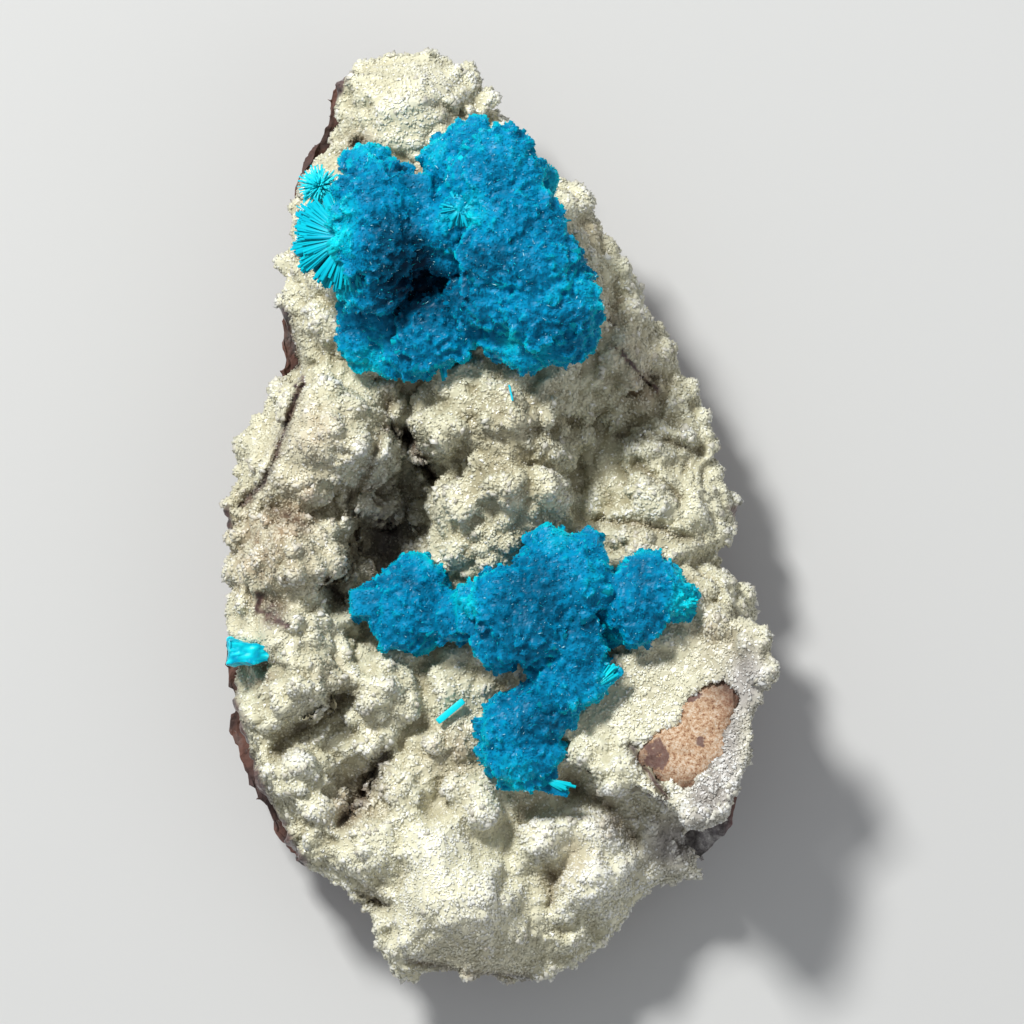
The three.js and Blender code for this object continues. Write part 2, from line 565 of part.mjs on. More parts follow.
const specimen = new THREE.Group();
specimen.add(
  meshOf('basalt_host_rock', rock, basaltLook),
  meshOf('zeolite_crust', crust, crustLook),
  meshOf('cavansite_cluster_upper', clusterBody(upperRosettes, upperBlades, upperDepth), cavansiteLook),
  meshOf('cavansite_cluster_lower', clusterBody(lowerRosettes, lowerBlades, lowerDepth), cavansiteLook),
  meshOf('cavansite_spray_small', sprayBody(), paleLook),
  meshOf('cavansite_wedge_left', wedgeBody(), paleLook),
  meshOf('cavansite_loose_prism', needleBody(loosePrism), paleLook),
  meshOf('cavansite_tiny_needle', needleBody(tinyNeedle), paleLook),
);

export default specimen;
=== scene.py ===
import math

import bpy
import numpy as np
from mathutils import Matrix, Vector, noise
from mathutils.bvhtree import BVHTree


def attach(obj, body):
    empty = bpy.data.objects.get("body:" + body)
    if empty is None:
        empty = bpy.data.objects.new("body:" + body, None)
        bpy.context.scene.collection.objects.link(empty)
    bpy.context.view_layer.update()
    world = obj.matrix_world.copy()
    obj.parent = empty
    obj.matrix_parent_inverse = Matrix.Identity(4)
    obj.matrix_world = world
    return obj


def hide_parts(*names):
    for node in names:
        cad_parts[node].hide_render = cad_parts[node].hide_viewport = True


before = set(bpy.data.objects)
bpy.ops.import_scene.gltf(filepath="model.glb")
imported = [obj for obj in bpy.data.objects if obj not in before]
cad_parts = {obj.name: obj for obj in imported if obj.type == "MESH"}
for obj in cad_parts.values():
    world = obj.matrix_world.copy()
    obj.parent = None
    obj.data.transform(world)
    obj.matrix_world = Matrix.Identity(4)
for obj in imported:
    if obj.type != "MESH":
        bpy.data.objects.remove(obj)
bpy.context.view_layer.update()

mm = 0.001  # sizes and places below are in millimetres
rng = np.random.default_rng(5)
print("frame loaded")


# small helpers

def deselectAll():
    for thing in bpy.context.selected_objects:
        thing.select_set(False)


def makeActive(thing):
    deselectAll()
    thing.select_set(True)
    bpy.context.view_layer.objects.active = thing


def addShape(kind, name, **settings):
    deselectAll()
    getattr(bpy.ops.mesh, f"primitive_{kind}_add")(**settings)
    bpy.context.object.name = name
    return bpy.context.object


def applyModifier(thing, kind, **settings):
    makeActive(thing)
    modifier = thing.modifiers.new(kind.lower(), kind)
    for name, value in settings.items():
        setattr(modifier, name, value)
    bpy.ops.object.modifier_apply(modifier=modifier.name)


def mergeDoubles(thing):
    makeActive(thing)
    bpy.ops.object.mode_set(mode="EDIT")
    bpy.ops.mesh.select_all(action="SELECT")
    bpy.ops.mesh.remove_doubles(threshold=0.002 * mm)
    bpy.ops.mesh.normals_make_consistent(inside=False)
    bpy.ops.object.mode_set(mode="OBJECT")


def copyOfNode(node, name):
    copy = bpy.data.objects.new(name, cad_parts[node].data.copy())
    copy.data.materials.clear()
    bpy.context.scene.collection.objects.link(copy)
    mergeDoubles(copy)
    return copy


def remeshed(thing, shape):  # even triangles, without the crumbs that a remesh leaves beside the piece
    name = thing.name
    applyModifier(thing, "REMESH", mode="VOXEL", voxel_size=shape["voxel"] * mm)
    bpy.ops.object.mode_set(mode="EDIT")
    bpy.ops.mesh.select_all(action="SELECT")
    bpy.ops.mesh.separate(type="LOOSE")
    bpy.ops.object.mode_set(mode="OBJECT")
    parts = sorted(bpy.context.selected_objects, key=lambda part: len(part.data.vertices))
    for crumb in parts[:-1]:
        bpy.data.objects.remove(crumb)
    parts[-1].name = name
    if "smoothing" in shape:
        applyModifier(parts[-1], "SMOOTH", factor=0.5, iterations=shape["smoothing"])
    return parts[-1]


def joinInto(target, others):
    makeActive(target)
    for other in others:
        other.select_set(True)
    bpy.ops.object.join()


def pointsOf(thing, kind="co"):
    flat = np.empty(len(thing.data.vertices) * 3)
    thing.data.vertices.foreach_get(kind, flat)
    return flat.reshape(-1, 3)


def normalsOf(thing):
    return pointsOf(thing, "normal")


def trianglesOf(thing):
    thing.data.calc_loop_triangles()
    flat = np.empty(len(thing.data.loop_triangles) * 3, np.int32)
    thing.data.loop_triangles.foreach_get("vertices", flat)
    return flat.reshape(-1, 3)


def setPoints(thing, points):
    thing.data.vertices.foreach_set("co", points.ravel())
    thing.data.update()


def setValues(thing, name, values):  # one number or one direction per point
    kind, key = ("FLOAT", "value") if values.ndim == 1 else ("FLOAT_VECTOR", "vector")
    attribute = thing.data.attributes.new(name, kind, "POINT")
    attribute.data.foreach_set(key, values.astype(np.float32).ravel())


def meshFrom(name, points, triangles):
    mesh = bpy.data.meshes.new(name)
    mesh.vertices.add(len(points))
    mesh.vertices.foreach_set("co", points.ravel())
    mesh.loops.add(triangles.size)
    mesh.loops.foreach_set("vertex_index", triangles.ravel().astype(np.int32))
    mesh.polygons.add(len(triangles))
    mesh.polygons.foreach_set("loop_start", np.arange(0, triangles.size, 3, dtype=np.int32))
    mesh.update(calc_edges=True)
    thing = bpy.data.objects.new(name, mesh)
    bpy.context.scene.collection.objects.link(thing)
    return thing


def noiseAt(points, cell, shift=0.0):  # the cell is in millimetres
    scaled = points / (cell * mm) + shift
    return np.array([noise.noise(Vector(p)) for p in scaled])


# a layer of noise whose height and cell stand in the shape, with sharp creases where it is ridged
def layerAt(points, shape, name, shift=0.0, middle=0.0, ridged=False):
    heights = noiseAt(points, shape[name + "Cell"], shift)
    return shape[name] * ((2 * np.abs(heights) if ridged else heights) - middle)


# 1 at a place seen from above and less around it, with a flatter middle at a higher power
def nearness(flat, x, y, wide, long=None, power=1):
    away = ((flat[:, 0] - x) / wide) ** 2 + ((flat[:, 1] - y) / (long or wide)) ** 2
    return np.exp(-away ** power)


def spotsAt(places, spots):  # each spot is given as x, y, radius and strength
    flat = places[:, :2] / mm
    return sum(strength * nearness(flat, x, y, radius) for x, y, radius, strength in spots)


def unit(vectors):
    return vectors / np.maximum(np.linalg.norm(vectors, axis=1, keepdims=True), 1e-12)


# how far each point stands above its surroundings, in millimetres, where below is negative
def reliefOf(thing, rounds):
    points, normals = pointsOf(thing), normalsOf(thing)
    ends = np.empty(len(thing.data.edges) * 2, np.int32)
    thing.data.edges.foreach_get("vertices", ends)
    one, two = ends[::2], ends[1::2]
    neighbours = np.maximum(np.bincount(ends, minlength=len(points)), 1)
    soft = points.copy()
    for _ in range(rounds):
        total = np.column_stack([np.bincount(one, soft[two, k], len(points))
                                 + np.bincount(two, soft[one, k], len(points)) for k in range(3)])
        soft = 0.4 * soft + 0.6 * total / neighbours[:, None]
    return np.einsum("ij,ij->i", points - soft, normals) / mm


# random places on a surface, with their normals and the values there
def surfaceSamples(thing, count, values=None):
    points, triangles = pointsOf(thing), trianglesOf(thing)
    a, b, c = (points[triangles[:, k]] for k in range(3))
    cross = np.cross(b - a, c - a)
    areas = np.linalg.norm(cross, axis=1)
    picks = rng.choice(len(triangles), count, p=areas / areas.sum())
    u, v = rng.random(count), rng.random(count)
    over = u + v > 1
    u[over], v[over] = 1 - u[over], 1 - v[over]
    places = a[picks] + u[:, None] * (b - a)[picks] + v[:, None] * (c - a)[picks]
    normals = normalsOf(thing)[triangles[picks]].mean(axis=1)
    if values is None:
        return places, unit(normals)
    return places, unit(normals), values[triangles[picks]].mean(axis=1)


def treeOf(*things):
    points, triangles = [], []
    for thing in things:
        triangles.extend((trianglesOf(thing) + len(points)).tolist())
        points.extend(pointsOf(thing).tolist())
    return BVHTree.FromPolygons(points, triangles)


# true where nothing of the tree lies within the room along the normal
def openPlaces(places, normals, tree, room):
    starts = places + normals * 0.05 * mm
    return np.array([tree.ray_cast(Vector(p), Vector(n), room * mm)[0] is None
                     for p, n in zip(starts, normals)])


def framesAlong(axes, rolls):  # turns whose third column is the axis
    helper = np.where(np.abs(axes[:, 2:3]) < 0.9, [[0.0, 0.0, 1.0]], [[1.0, 0.0, 0.0]])
    side = unit(np.cross(helper, axes))
    other = np.cross(axes, side)
    wide = np.cos(rolls)[:, None] * side + np.sin(rolls)[:, None] * other
    return np.stack([wide, np.cross(axes, wide), axes], axis=2)


# one mesh of copies of a small template, with their sizes in millimetres
def joinedCopies(name, template, places, axes, rolls, sizes):
    points, triangles = pointsOf(template), trianglesOf(template)
    local = points[None] * sizes[:, None, :] * mm
    world = np.einsum("nij,nvj->nvi", framesAlong(axes, rolls), local) + places[:, None]
    steps = np.arange(len(places))[:, None, None] * len(points)
    return meshFrom(name, world.reshape(-1, 3), (triangles[None] + steps).reshape(-1, 3))


def setPerCopy(thing, name, values, template):  # the same value for all the points of a copy
    setValues(thing, name, np.repeat(values, len(template.data.vertices), axis=0))


def anyRolls(count):
    return rng.uniform(0, 6.3, count)


def jittered(normals, spread):
    return unit(normals + spread * rng.normal(size=normals.shape))


# materials

def newMaterial(name, roughness, specular=0.5):
    material = bpy.data.materials.new(name)
    material.use_nodes = True
    shader = material.node_tree.nodes["Principled BSDF"]
    shader.inputs["Roughness"].default_value = roughness
    shader.inputs["Specular IOR Level"].default_value = specular
    return material, material.node_tree, shader


def addNode(tree, kind, **settings):
    node = tree.nodes.new(kind)
    for name, value in settings.items():
        setattr(node, name, value)
    return node


def attributeOf(tree, name):
    return addNode(tree, "ShaderNodeAttribute", attribute_name=name).outputs["Fac"]


def noiseOf(tree, scale, detail=4.0, roughness=0.6):
    coordinates = addNode(tree, "ShaderNodeTexCoord")
    texture = addNode(tree, "ShaderNodeTexNoise")
    texture.inputs["Scale"].default_value = scale
    texture.inputs["Detail"].default_value = detail
    texture.inputs["Roughness"].default_value = roughness
    tree.links.new(coordinates.outputs["Object"], texture.inputs["Vector"])
    return texture.outputs["Fac"]


def rampOf(tree, value, stops):
    ramp = addNode(tree, "ShaderNodeValToRGB")
    elements = ramp.color_ramp.elements
    while len(elements) < len(stops):
        elements.new(0.5)
    for element, (place, color) in zip(elements, stops):
        element.position = place
        element.color = (*color, 1.0)
    tree.links.new(value, ramp.inputs["Fac"])
    return ramp.outputs["Color"]


def mixOf(tree, share, first, second, blend="MIX"):
    mix = addNode(tree, "ShaderNodeMix", data_type="RGBA", blend_type=blend)
    for socket, value in ((mix.inputs[0], share), (mix.inputs[6], first), (mix.inputs[7], second)):
        if isinstance(value, (int, float)):
            socket.default_value = value
        elif isinstance(value, tuple):
            socket.default_value = (*value, 1.0)
        else:
            tree.links.new(value, socket)
    return mix.outputs[2]


# the normal of a facet, leaning by the share towards the surface that its crystal grows on
def softNormal(tree, share):
    ground = addNode(tree, "ShaderNodeAttribute", attribute_name="ground")
    mix = addNode(tree, "ShaderNodeMix", data_type="VECTOR")
    mix.inputs[0].default_value = share
    tree.links.new(addNode(tree, "ShaderNodeNewGeometry").outputs["Normal"], mix.inputs[4])
    tree.links.new(ground.outputs["Vector"], mix.inputs[5])
    normal = addNode(tree, "ShaderNodeVectorMath", operation="NORMALIZE")
    tree.links.new(mix.outputs[1], normal.inputs[0])
    return normal.outputs[0]


def bumpOf(tree, shader, height, strength, distance, normal=None):
    bump = addNode(tree, "ShaderNodeBump")
    if normal:
        tree.links.new(normal, bump.inputs["Normal"])
    bump.inputs["Strength"].default_value = strength
    bump.inputs["Distance"].default_value = distance * mm
    tree.links.new(height, bump.inputs["Height"])
    tree.links.new(bump.outputs["Normal"], shader.inputs["Normal"])


def druseMaterial():
    material, tree, shader = newMaterial("paleDruse", 0.3)
    tone = attributeOf(tree, "tone")
    clean = rampOf(tree, tone, [(0.0, (0.42, 0.38, 0.24)), (0.4, (0.69, 0.66, 0.47)),
                                (0.75, (0.86, 0.84, 0.645)), (1.0, (0.98, 0.98, 0.9))])
    tan = rampOf(tree, tone, [(0.0, (0.17, 0.11, 0.06)), (0.6, (0.45, 0.34, 0.21)),
                              (1.0, (0.68, 0.58, 0.42))])
    ash = rampOf(tree, tone, [(0.0, (0.17, 0.15, 0.14)), (0.55, (0.46, 0.43, 0.40)),
                              (1.0, (0.86, 0.86, 0.83))])
    grain = noiseOf(tree, 700, 8, 0.7)
    basalt = rampOf(tree, grain, [(0.38, (0.03, 0.024, 0.024)), (0.5, (0.10, 0.06, 0.055)),
                                  (0.6, (0.15, 0.09, 0.075)), (0.68, (0.5, 0.46, 0.42))])
    color = mixOf(tree, attributeOf(tree, "ash"), clean, ash)
    # tan where the stainAndShade attribute is high: real stains, and painted shade in creases and hollows
    color = mixOf(tree, attributeOf(tree, "stainAndShade"), color, tan)
    # basalt colour where the darkAndShade attribute is high: bare basalt in the strips and painted shade in
    # the clefts
    color = mixOf(tree, attributeOf(tree, "darkAndShade"), color, basalt)
    tree.links.new(color, shader.inputs["Base Color"])
    bumpOf(tree, shader, noiseOf(tree, 3000), 0.3, 0.08, softNormal(tree, 0.62))
    return material


def basaltMaterial():
    material, tree, shader = newMaterial("weatheredBasalt", 0.85, 0.3)
    patches = rampOf(tree, noiseOf(tree, 200, 8), [
        (0.32, (0.035, 0.028, 0.028)), (0.45, (0.10, 0.062, 0.055)),
        (0.56, (0.17, 0.085, 0.065)), (0.68, (0.19, 0.16, 0.15))])
    veins = rampOf(tree, noiseOf(tree, 420, 8, 0.75), [(0.60, (0.0, 0.0, 0.0)), (0.68, (1.0, 1.0, 1.0))])
    grain = noiseOf(tree, 2600, 6, 0.85)
    ochre = rampOf(tree, grain, [(0.36, (0.08, 0.035, 0.025)), (0.42, (0.34, 0.17, 0.09)),
                                 (0.5, (0.56, 0.37, 0.22)), (0.66, (0.80, 0.72, 0.60))])
    clouds = noiseOf(tree, 900, 8, 0.75)
    grey = rampOf(tree, clouds, [(0.36, (0.09, 0.08, 0.085)), (0.5, (0.26, 0.245, 0.24)),
                                 (0.64, (0.62, 0.60, 0.57))])
    color = mixOf(tree, veins, patches, (0.42, 0.39, 0.36))
    color = mixOf(tree, attributeOf(tree, "ash"), color, grey)
    color = mixOf(tree, attributeOf(tree, "ochre"), color, ochre)
    # dark spots on the ochre patch, with painted shadow along its raised edge
    uneven = mixOf(tree, 1.0, attributeOf(tree, "darkAndShade"), noiseOf(tree, 1200, 6, 0.7), "MULTIPLY")
    spots = rampOf(tree, uneven, [(0.24, (0.0, 0.0, 0.0)), (0.32, (0.85, 0.85, 0.85))])
    color = mixOf(tree, spots, color, (0.13, 0.07, 0.065))
    color = mixOf(tree, attributeOf(tree, "red"), color, (0.24, 0.045, 0.035))
    tree.links.new(color, shader.inputs["Base Color"])
    bumpOf(tree, shader, noiseOf(tree, 1800, 8), 0.6, 0.25)
    return material


def blueMaterial():
    material, tree, shader = newMaterial("deepBlue", 0.35, 0.12)
    color = rampOf(tree, attributeOf(tree, "tone"), [
        (0.0, (0.0, 0.02, 0.05)), (0.3, (0.0, 0.13, 0.25)), (0.5, (0.0, 0.27, 0.50)),
        (0.68, (0.0, 0.43, 0.60)), (0.84, (0.002, 0.63, 0.74)), (0.95, (0.01, 0.82, 0.92)),
        (1.0, (0.5, 0.93, 1.0))])
    tree.links.new(color, shader.inputs["Base Color"])
    bumpOf(tree, shader, noiseOf(tree, 5000, 3), 0.3, 0.05, softNormal(tree, 0.6))
    return material


druseLook = druseMaterial()
basaltLook = basaltMaterial()
blueLook = blueMaterial()
print("materials ready")


# shapes that repeat, modelled once

# a short crystal between points at -1 and 1, widest a little above its middle, and its tip may lean
def modelCrystal(name, sides, wide, thick, lean):
    crystal = addShape("cone", name, vertices=sides, radius1=1, radius2=0, depth=2, end_fill_type="TRIFAN")
    points = pointsOf(crystal)
    isWaist = np.hypot(points[:, 0], points[:, 1]) > 0.5
    isTip = (points[:, 2] > 0.5) & ~isWaist
    points[isWaist, 2] = 0.35
    points[isWaist, :2] *= (wide, thick)
    points[isTip, 0] += lean
    setPoints(crystal, points)
    return crystal


def modelBook(name, root, bevel=0):  # a blade or a block of them, narrow at its root and square at its end
    book = addShape("cube", name, size=2)
    for face in book.data.polygons:
        face.select = face.normal.z < -0.9
    bpy.ops.object.mode_set(mode="EDIT")
    bpy.ops.mesh.select_mode(type="FACE")
    bpy.ops.transform.resize(value=(root, root, 1))
    bpy.ops.mesh.select_all(action="SELECT")
    if bevel:
        bpy.ops.mesh.bevel(offset=bevel, segments=1, affect="EDGES")
    bpy.ops.mesh.quads_convert_to_tris()
    bpy.ops.object.mode_set(mode="OBJECT")
    return book


druseShapes = [
    modelCrystal("stubbyCrystal", 3, wide=1, thick=0.9, lean=0.1),
    modelCrystal("leaningCrystal", 3, wide=0.9, thick=1, lean=0.45),
    modelCrystal("flatCrystal", 4, wide=1.3, thick=0.5, lean=0.0),
]
velvetShape = modelCrystal("velvetShape", 3, wide=1, thick=0.6, lean=0.2)
sparkleShape = modelCrystal("sparkleShape", 4, wide=1, thick=0.4, lean=0.25)
knobShape = addShape("ico_sphere", "knobShape", subdivisions=2, radius=1)
bookShape = modelBook("bookShape", root=0.6, bevel=0.12)
lathShape = modelBook("lathShape", root=1.0, bevel=0.15)
fanShape = modelBook("fanShape", root=0.3)


def dropShapes(*shapes):
    for shape in shapes:
        bpy.data.objects.remove(shape)


# the cavansite clusters

upperCluster = dict(
    node="cavansite_cluster_upper", name="upper",
    # x, y, radius and strength of paler places, or of darker ones, painted shade, where it is negative; the
    # one at x -18.4 paints light onto the shaded slabs beneath the fan
    pale=[(-16.4, 28.2, 3, 0.3), (-18.4, 27.6, 2.6, 0.2), (7, 27, 4, 0.06), (-6, 19, 3, -0.06),
          (-14.8, 31.5, 1.4, 0.2), (-14.6, 22.6, 1.8, 0.2), (-3.4, 30.8, 2.6, 0.2), (-6, 29.6, 2.0, 0.16),
          (-12.4, 36.6, 2.6, 0.14), (-5.8, 36, 2, 0.1), (-13, 17, 2.2, 0.25),
          (4.4, 16.6, 3, 0.1), (-4.6, 26, 1.4, 0.18), (10, 22, 1.8, 0.12), (5.6, 33.6, 1.6, 0.18),
          (-0.5, 39, 2.6, 0.1), (-10.6, 29, 2.6, -0.14), (-8.4, 24, 4, -0.46), (1.2, 17.8, 1.0, 0.2)],
    # fans: x, y, z of the root, first and last direction in degrees, length, fall, blades, tone
    fans=[(-15.2, 28.2, 34.6, 128, 226, 5.2, 2.0, 420, 0.74), (-15.2, 28.4, 36, 84, 126, 4.2, 2.4, 90, 0.73),
          (-15.1, 28.0, 36.2, 230, 292, 5.2, 4.0, 260, 0.73), (-3.7, 31.0, 38.7, 0, 360, 2.1, 1.2, 90, 0.68),
          (-3.2, 31.0, 39.0, -20, 60, 3.0, 0.9, 60, 0.68)],
    # rosettes: x, y, top, radius
    rosettes=[
        (-12.2, 31.6, 40, 4.2), (-12.2, 28.2, 39.5, 4.4), (-12.9, 34.9, 37, 2.7), (-12.4, 24.2, 36, 3.6),
        (-14.8, 25.8, 33, 2.4), (-14, 18.2, 28, 2.2), (-13.2, 16.4, 26.5, 1.7), (-14, 20.6, 28.5, 2.0),
        (-7.7, 30.6, 38, 3.0), (-5.7, 29.4, 38.3, 2.6), (-8.5, 27.8, 36, 3.0), (-5, 26.4, 35.5, 2.2),
        (-3.2, 31.4, 39, 3.5), (-2.5, 37.3, 38, 2.8), (-4.8, 35.6, 37.6, 2.9), (0.2, 35.9, 41, 3.4),
        (2.0, 34.2, 40, 2.9), (4.6, 33.9, 36, 1.7), (1.2, 37.0, 37, 2.0), (-1.5, 33.6, 40.4, 3.5),
        (1.2, 30.0, 41.2, 4.1), (4.1, 29.2, 40, 2.8), (0, 26.8, 40.8, 4.0), (3.6, 25.9, 41.2, 4.1),
        (6.0, 25.4, 38.4, 2.7), (6.9, 22, 38.8, 3.4), (4, 21.6, 39.6, 4.2), (0.3, 22.8, 38.6, 3.8),
        (-2.2, 22, 36, 3.0), (6, 18.4, 36, 3.2), (3, 17.4, 34.6, 2.8), (8.7, 20.8, 36, 2.1),
        (8.2, 18.6, 34, 2.2), (0.9, 18.6, 34, 2.8), (-7, 22.8, 30, 4.2), (-6.3, 19, 33, 4.2),
        (-8.6, 17, 30, 2.9), (-10.2, 19.6, 29.4, 3.1), (-10.6, 16.2, 28, 2.2), (-1.4, 19.4, 32.4, 2.0),
        (-11.6, 21, 29.4, 2.6),
    ],
    # flat blocks of blades: x, y, z, turn in degrees, half length, half width, half thickness
    slabs=[(-8.0, 31.2, 36.4, 92, 3.2, 1.5, 1.2), (-9.3, 34.2, 34.0, 70, 1.4, 0.8, 0.4),
           (-16.8, 29.6, 33.2, 140, 2.1, 1.0, 0.3), (-17.3, 28.7, 33.1, 165, 2.2, 1.0, 0.3),
           (-17.3, 27.7, 33.0, 190, 2.2, 1.0, 0.3), (-16.9, 26.8, 32.8, 215, 2.2, 1.0, 0.3),
           (-16.4, 26.1, 33.0, 238, 2.2, 1.0, 0.3), (-15.5, 25.6, 33.2, 262, 2.2, 1.0, 0.3),
           (-14.5, 25.8, 33.4, 285, 2.0, 1.0, 0.3)],
)
lowerCluster = dict(
    node="cavansite_cluster_lower", name="lower",
    pale=[(-13.4, -8.2, 2, 0.12), (-3, -8.6, 1.4, 0.26), (18.8, -8, 1.6, 0.3), (10.8, -15.6, 1.6, 0.22),
          (3, -26, 2.2, 0.2), (0, -22.6, 1.8, 0.14), (-7.6, -4.8, 1.4, 0.12), (9.4, -5, 1.2, 0.12),
          (6.4, -2.2, 1.6, 0.08), (1.5, -15.6, 1.8, -0.3), (3, -9, 5, -0.1)],
    fans=[(16.8, -8, 26.6, -38, 26, 3.1, 1.2, 80, 0.8), (9.4, -16.8, 26.4, 28, 56, 3.6, 0.6, 40, 0.84),
          (4.0, -25.6, 21.8, -30, -10, 3.7, 0.6, 30, 0.84)],
    rosettes=[
        (-12.6, -8.2, 22.6, 2.2), (-8.5, -8, 25, 4.2), (-10, -10.4, 24, 2.8), (-8.2, -5.2, 23.6, 2.3),
        (-4.4, -9.6, 25.6, 2.8), (-2.4, -8.4, 27, 2.5), (0.5, -8, 30.6, 3.6), (3, -10.4, 30.8, 3.9),
        (0, -12, 28.4, 2.9), (4.5, -7, 30.6, 3.6), (5.5, -3.2, 29.4, 2.9), (8.5, -3.4, 28.6, 2.6),
        (7.5, -6, 30.4, 3.7), (9.4, -6.6, 29, 2.3), (3.5, -4.4, 27.4, 2.0), (13.4, -8, 29, 3.3),
        (15.8, -7, 29.2, 3.4), (14.8, -5.2, 28.2, 2.5), (14, -10.2, 28.2, 2.4), (18, -8, 26.4, 2.0),
        (11.6, -8.4, 27.2, 2.2), (7.5, -12, 29, 3.3), (8.6, -15, 27.6, 2.9), (6.5, -15.8, 28, 3.5),
        (6.2, -18.8, 25.4, 2.3), (1.2, -20.4, 26, 3.3), (3.6, -19.4, 26, 3.3), (2, -23.2, 25.2, 3.5),
        (0.2, -22.4, 24.4, 2.3), (4.7, -23, 24.2, 2.1), (2.8, -25.4, 22, 1.6),
    ],
    slabs=[(-12.6, -8.1, 22.2, 2, 2.2, 1.35, 0.7), (-3.0, -8.8, 26.0, 90, 2.4, 1.1, 0.6),
           (3.4, -25.4, 21.8, 8, 2.6, 0.8, 0.25), (3.6, -26.3, 21.5, -14, 3.6, 0.55, 0.2),
           (2.2, -26.3, 21.2, 4, 2.0, 0.6, 0.25), (11.0, -16.0, 26.0, 42, 1.9, 0.5, 0.25),
           (18.0, -7.6, 25.6, 20, 2.0, 0.8, 0.3), (17.8, -8.8, 25.2, -24, 1.9, 0.7, 0.3)],
)
# the rosettes are flat above their widest place, and smaller ones below each carry it down to the crust
clusterShape = dict(core=0.88, above=0.78, lower=(0.7, 1.0), smallest=2.0, step=(0.5, 0.9), reach=0.6,
                    inward=0.08, loose=0.2, voxel=0.24, smoothing=2, grain=0.07, grainCell=0.5,
                    reliefRounds=9, hollowRounds=55, hollowShare=0.5, hollowRange=(-1.2, 0.5))
# blocks of blades: the rim lies below rimTop, and the smaller rosettes have none above hiddenTop
books = dict(density=8.0, wide=(0.3, 0.66), thick=(0.1, 0.24), inner=0.5, outer=(0.965, 1.0), lowest=-0.45,
             hiddenTop=0.6, rimTop=0.45, rimOuter=(0.8, 1.17), rimGrowth=1.9, scatter=0.08, wobble=0.1,
             wobbleScale=1.6, turn=1.6, turnCell=3.5, turnScatter=0.5, buried=0.86)
rimBlades = dict(perBlock=2, wide=(0.6, 1.0), thick=(0.2, 0.4), long=(1.0, 1.2), beside=0.7, lean=0.06,
                 paler=0.06, rootDarker=0.12)
velvet = dict(upper=22000, lower=14000, tries=3.4, room=1.0, onSides=0.25, onTop=1.1, lean=0.3,
              width=(0.06, 0.13), height=(0.12, 0.26))
sparkles = dict(count=1100, width=(0.025, 0.055), shortest=0.05, longer=0.3, above=0.16)
fanBlade = dict(reach=(0.66, 1.0), wave=0.22, fall=(0.15, 1.0), rise=0.7, wide=(0.2, 0.55), thick=(0.04, 0.1),
                roll=0.4, tones=0.06, whiteShare=0.3, whiter=0.14)
# how pale the blue is: its clouds and spots, the steep places, painted paler as light, and the share of the
# relief, which paints shade into hollows and light onto tops
blueTone = dict(base=0.445, cloud=0.2, cloudCell=4.0, spot=0.08, spotCell=1.2, steep=0.27, steepAt=0.2,
                steepSpan=0.33, relief=0.3, reliefRange=(-0.7, 0.4), scatter=0.05, palest=0.93,
                coreDarker=0.04)


def groundBelow(place, height):
    hit = crustTree.ray_cast(Vector((*place, height)) * mm, Vector((0, 0, -1)))[0]
    return hit.z / mm if hit else height


# the middles and radii of the rosettes and of the smaller ones below them, and their height over their width
def stackRosettes(spots):
    balls = []
    centre = np.mean([spot[:2] for spot in spots], axis=0)
    for x, y, top, radius in spots:
        height = top - radius * clusterShape["above"]
        balls.append((x, y, height, radius, clusterShape["above"]))
        place = np.array([x, y])
        while height - clusterShape["reach"] * radius > groundBelow(place, height):
            lower = max(radius * rng.uniform(*clusterShape["lower"]), clusterShape["smallest"])
            height -= lower * rng.uniform(*clusterShape["step"])
            place = place + clusterShape["inward"] * (centre - place)
            shift = rng.uniform(-1, 1, 2) * clusterShape["loose"] * radius
            balls.append((*(place + shift), height, lower, 1.0))
    return np.array(balls)


def rosetteBooks(balls):
    rows = []
    golden = math.pi * (3 - math.sqrt(5))
    for owner, (x, y, z, radius, flatness) in enumerate(balls):
        middle = np.array([x, y, z])
        isCrown = flatness < 1  # only the crowns show their upper half
        highest = 1.0 if isCrown else books["hiddenTop"]
        span = highest - books["lowest"]
        count = int(books["density"] * radius ** 2 * span / (1 - books["lowest"]))
        turn = rng.uniform(0, 6.3)
        for index in range(count):
            up = highest - span * (index + 0.5) / count
            side, angle = math.sqrt(1 - up * up), turn + golden * index
            way = np.array([side * math.cos(angle), side * math.sin(angle), up])
            way += rng.normal(0, books["scatter"], 3)
            way /= np.linalg.norm(way)
            atRim = up < books["rimTop"] and isCrown
            inner = radius * books["inner"]
            outer = radius * rng.uniform(*books["rimOuter" if atRim else "outer"])
            outer *= 1 + books["wobble"] * noise.noise(Vector(way * books["wobbleScale"]) + Vector(middle))
            stretched = way * np.array([1, 1, flatness if up > 0 else 1.0])
            place = (middle + stretched * (outer + inner) / 2) * mm
            growth = books["rimGrowth"] if atRim else 1.0
            wide, thick = (rng.uniform(*books[key]) * growth for key in ("wide", "thick"))
            roll = books["turn"] * noise.noise(Vector(place) / (books["turnCell"] * mm))
            roll += rng.normal(0, books["turnScatter"])
            size = (wide, thick, (outer - inner) / 2)
            rows.append((place, way, roll, size, middle + stretched * outer, owner, atRim))
    places, axes, rolls, sizes, tips, owners, isRim = (np.array(values) for values in zip(*rows))
    away = np.linalg.norm(tips[:, None] - balls[None, :, :3], axis=2) / balls[None, :, 3]
    away[np.arange(len(owners)), owners] = np.inf  # a block may lie in its own rosette
    free = away.min(axis=1) > books["buried"] * clusterShape["above"]
    rim = free & isRim
    blocks = joinedCopies("books", bookShape, places[free], axes[free], rolls[free], sizes[free])
    return blocks, (places[rim], axes[rim], rolls[rim], sizes[rim])


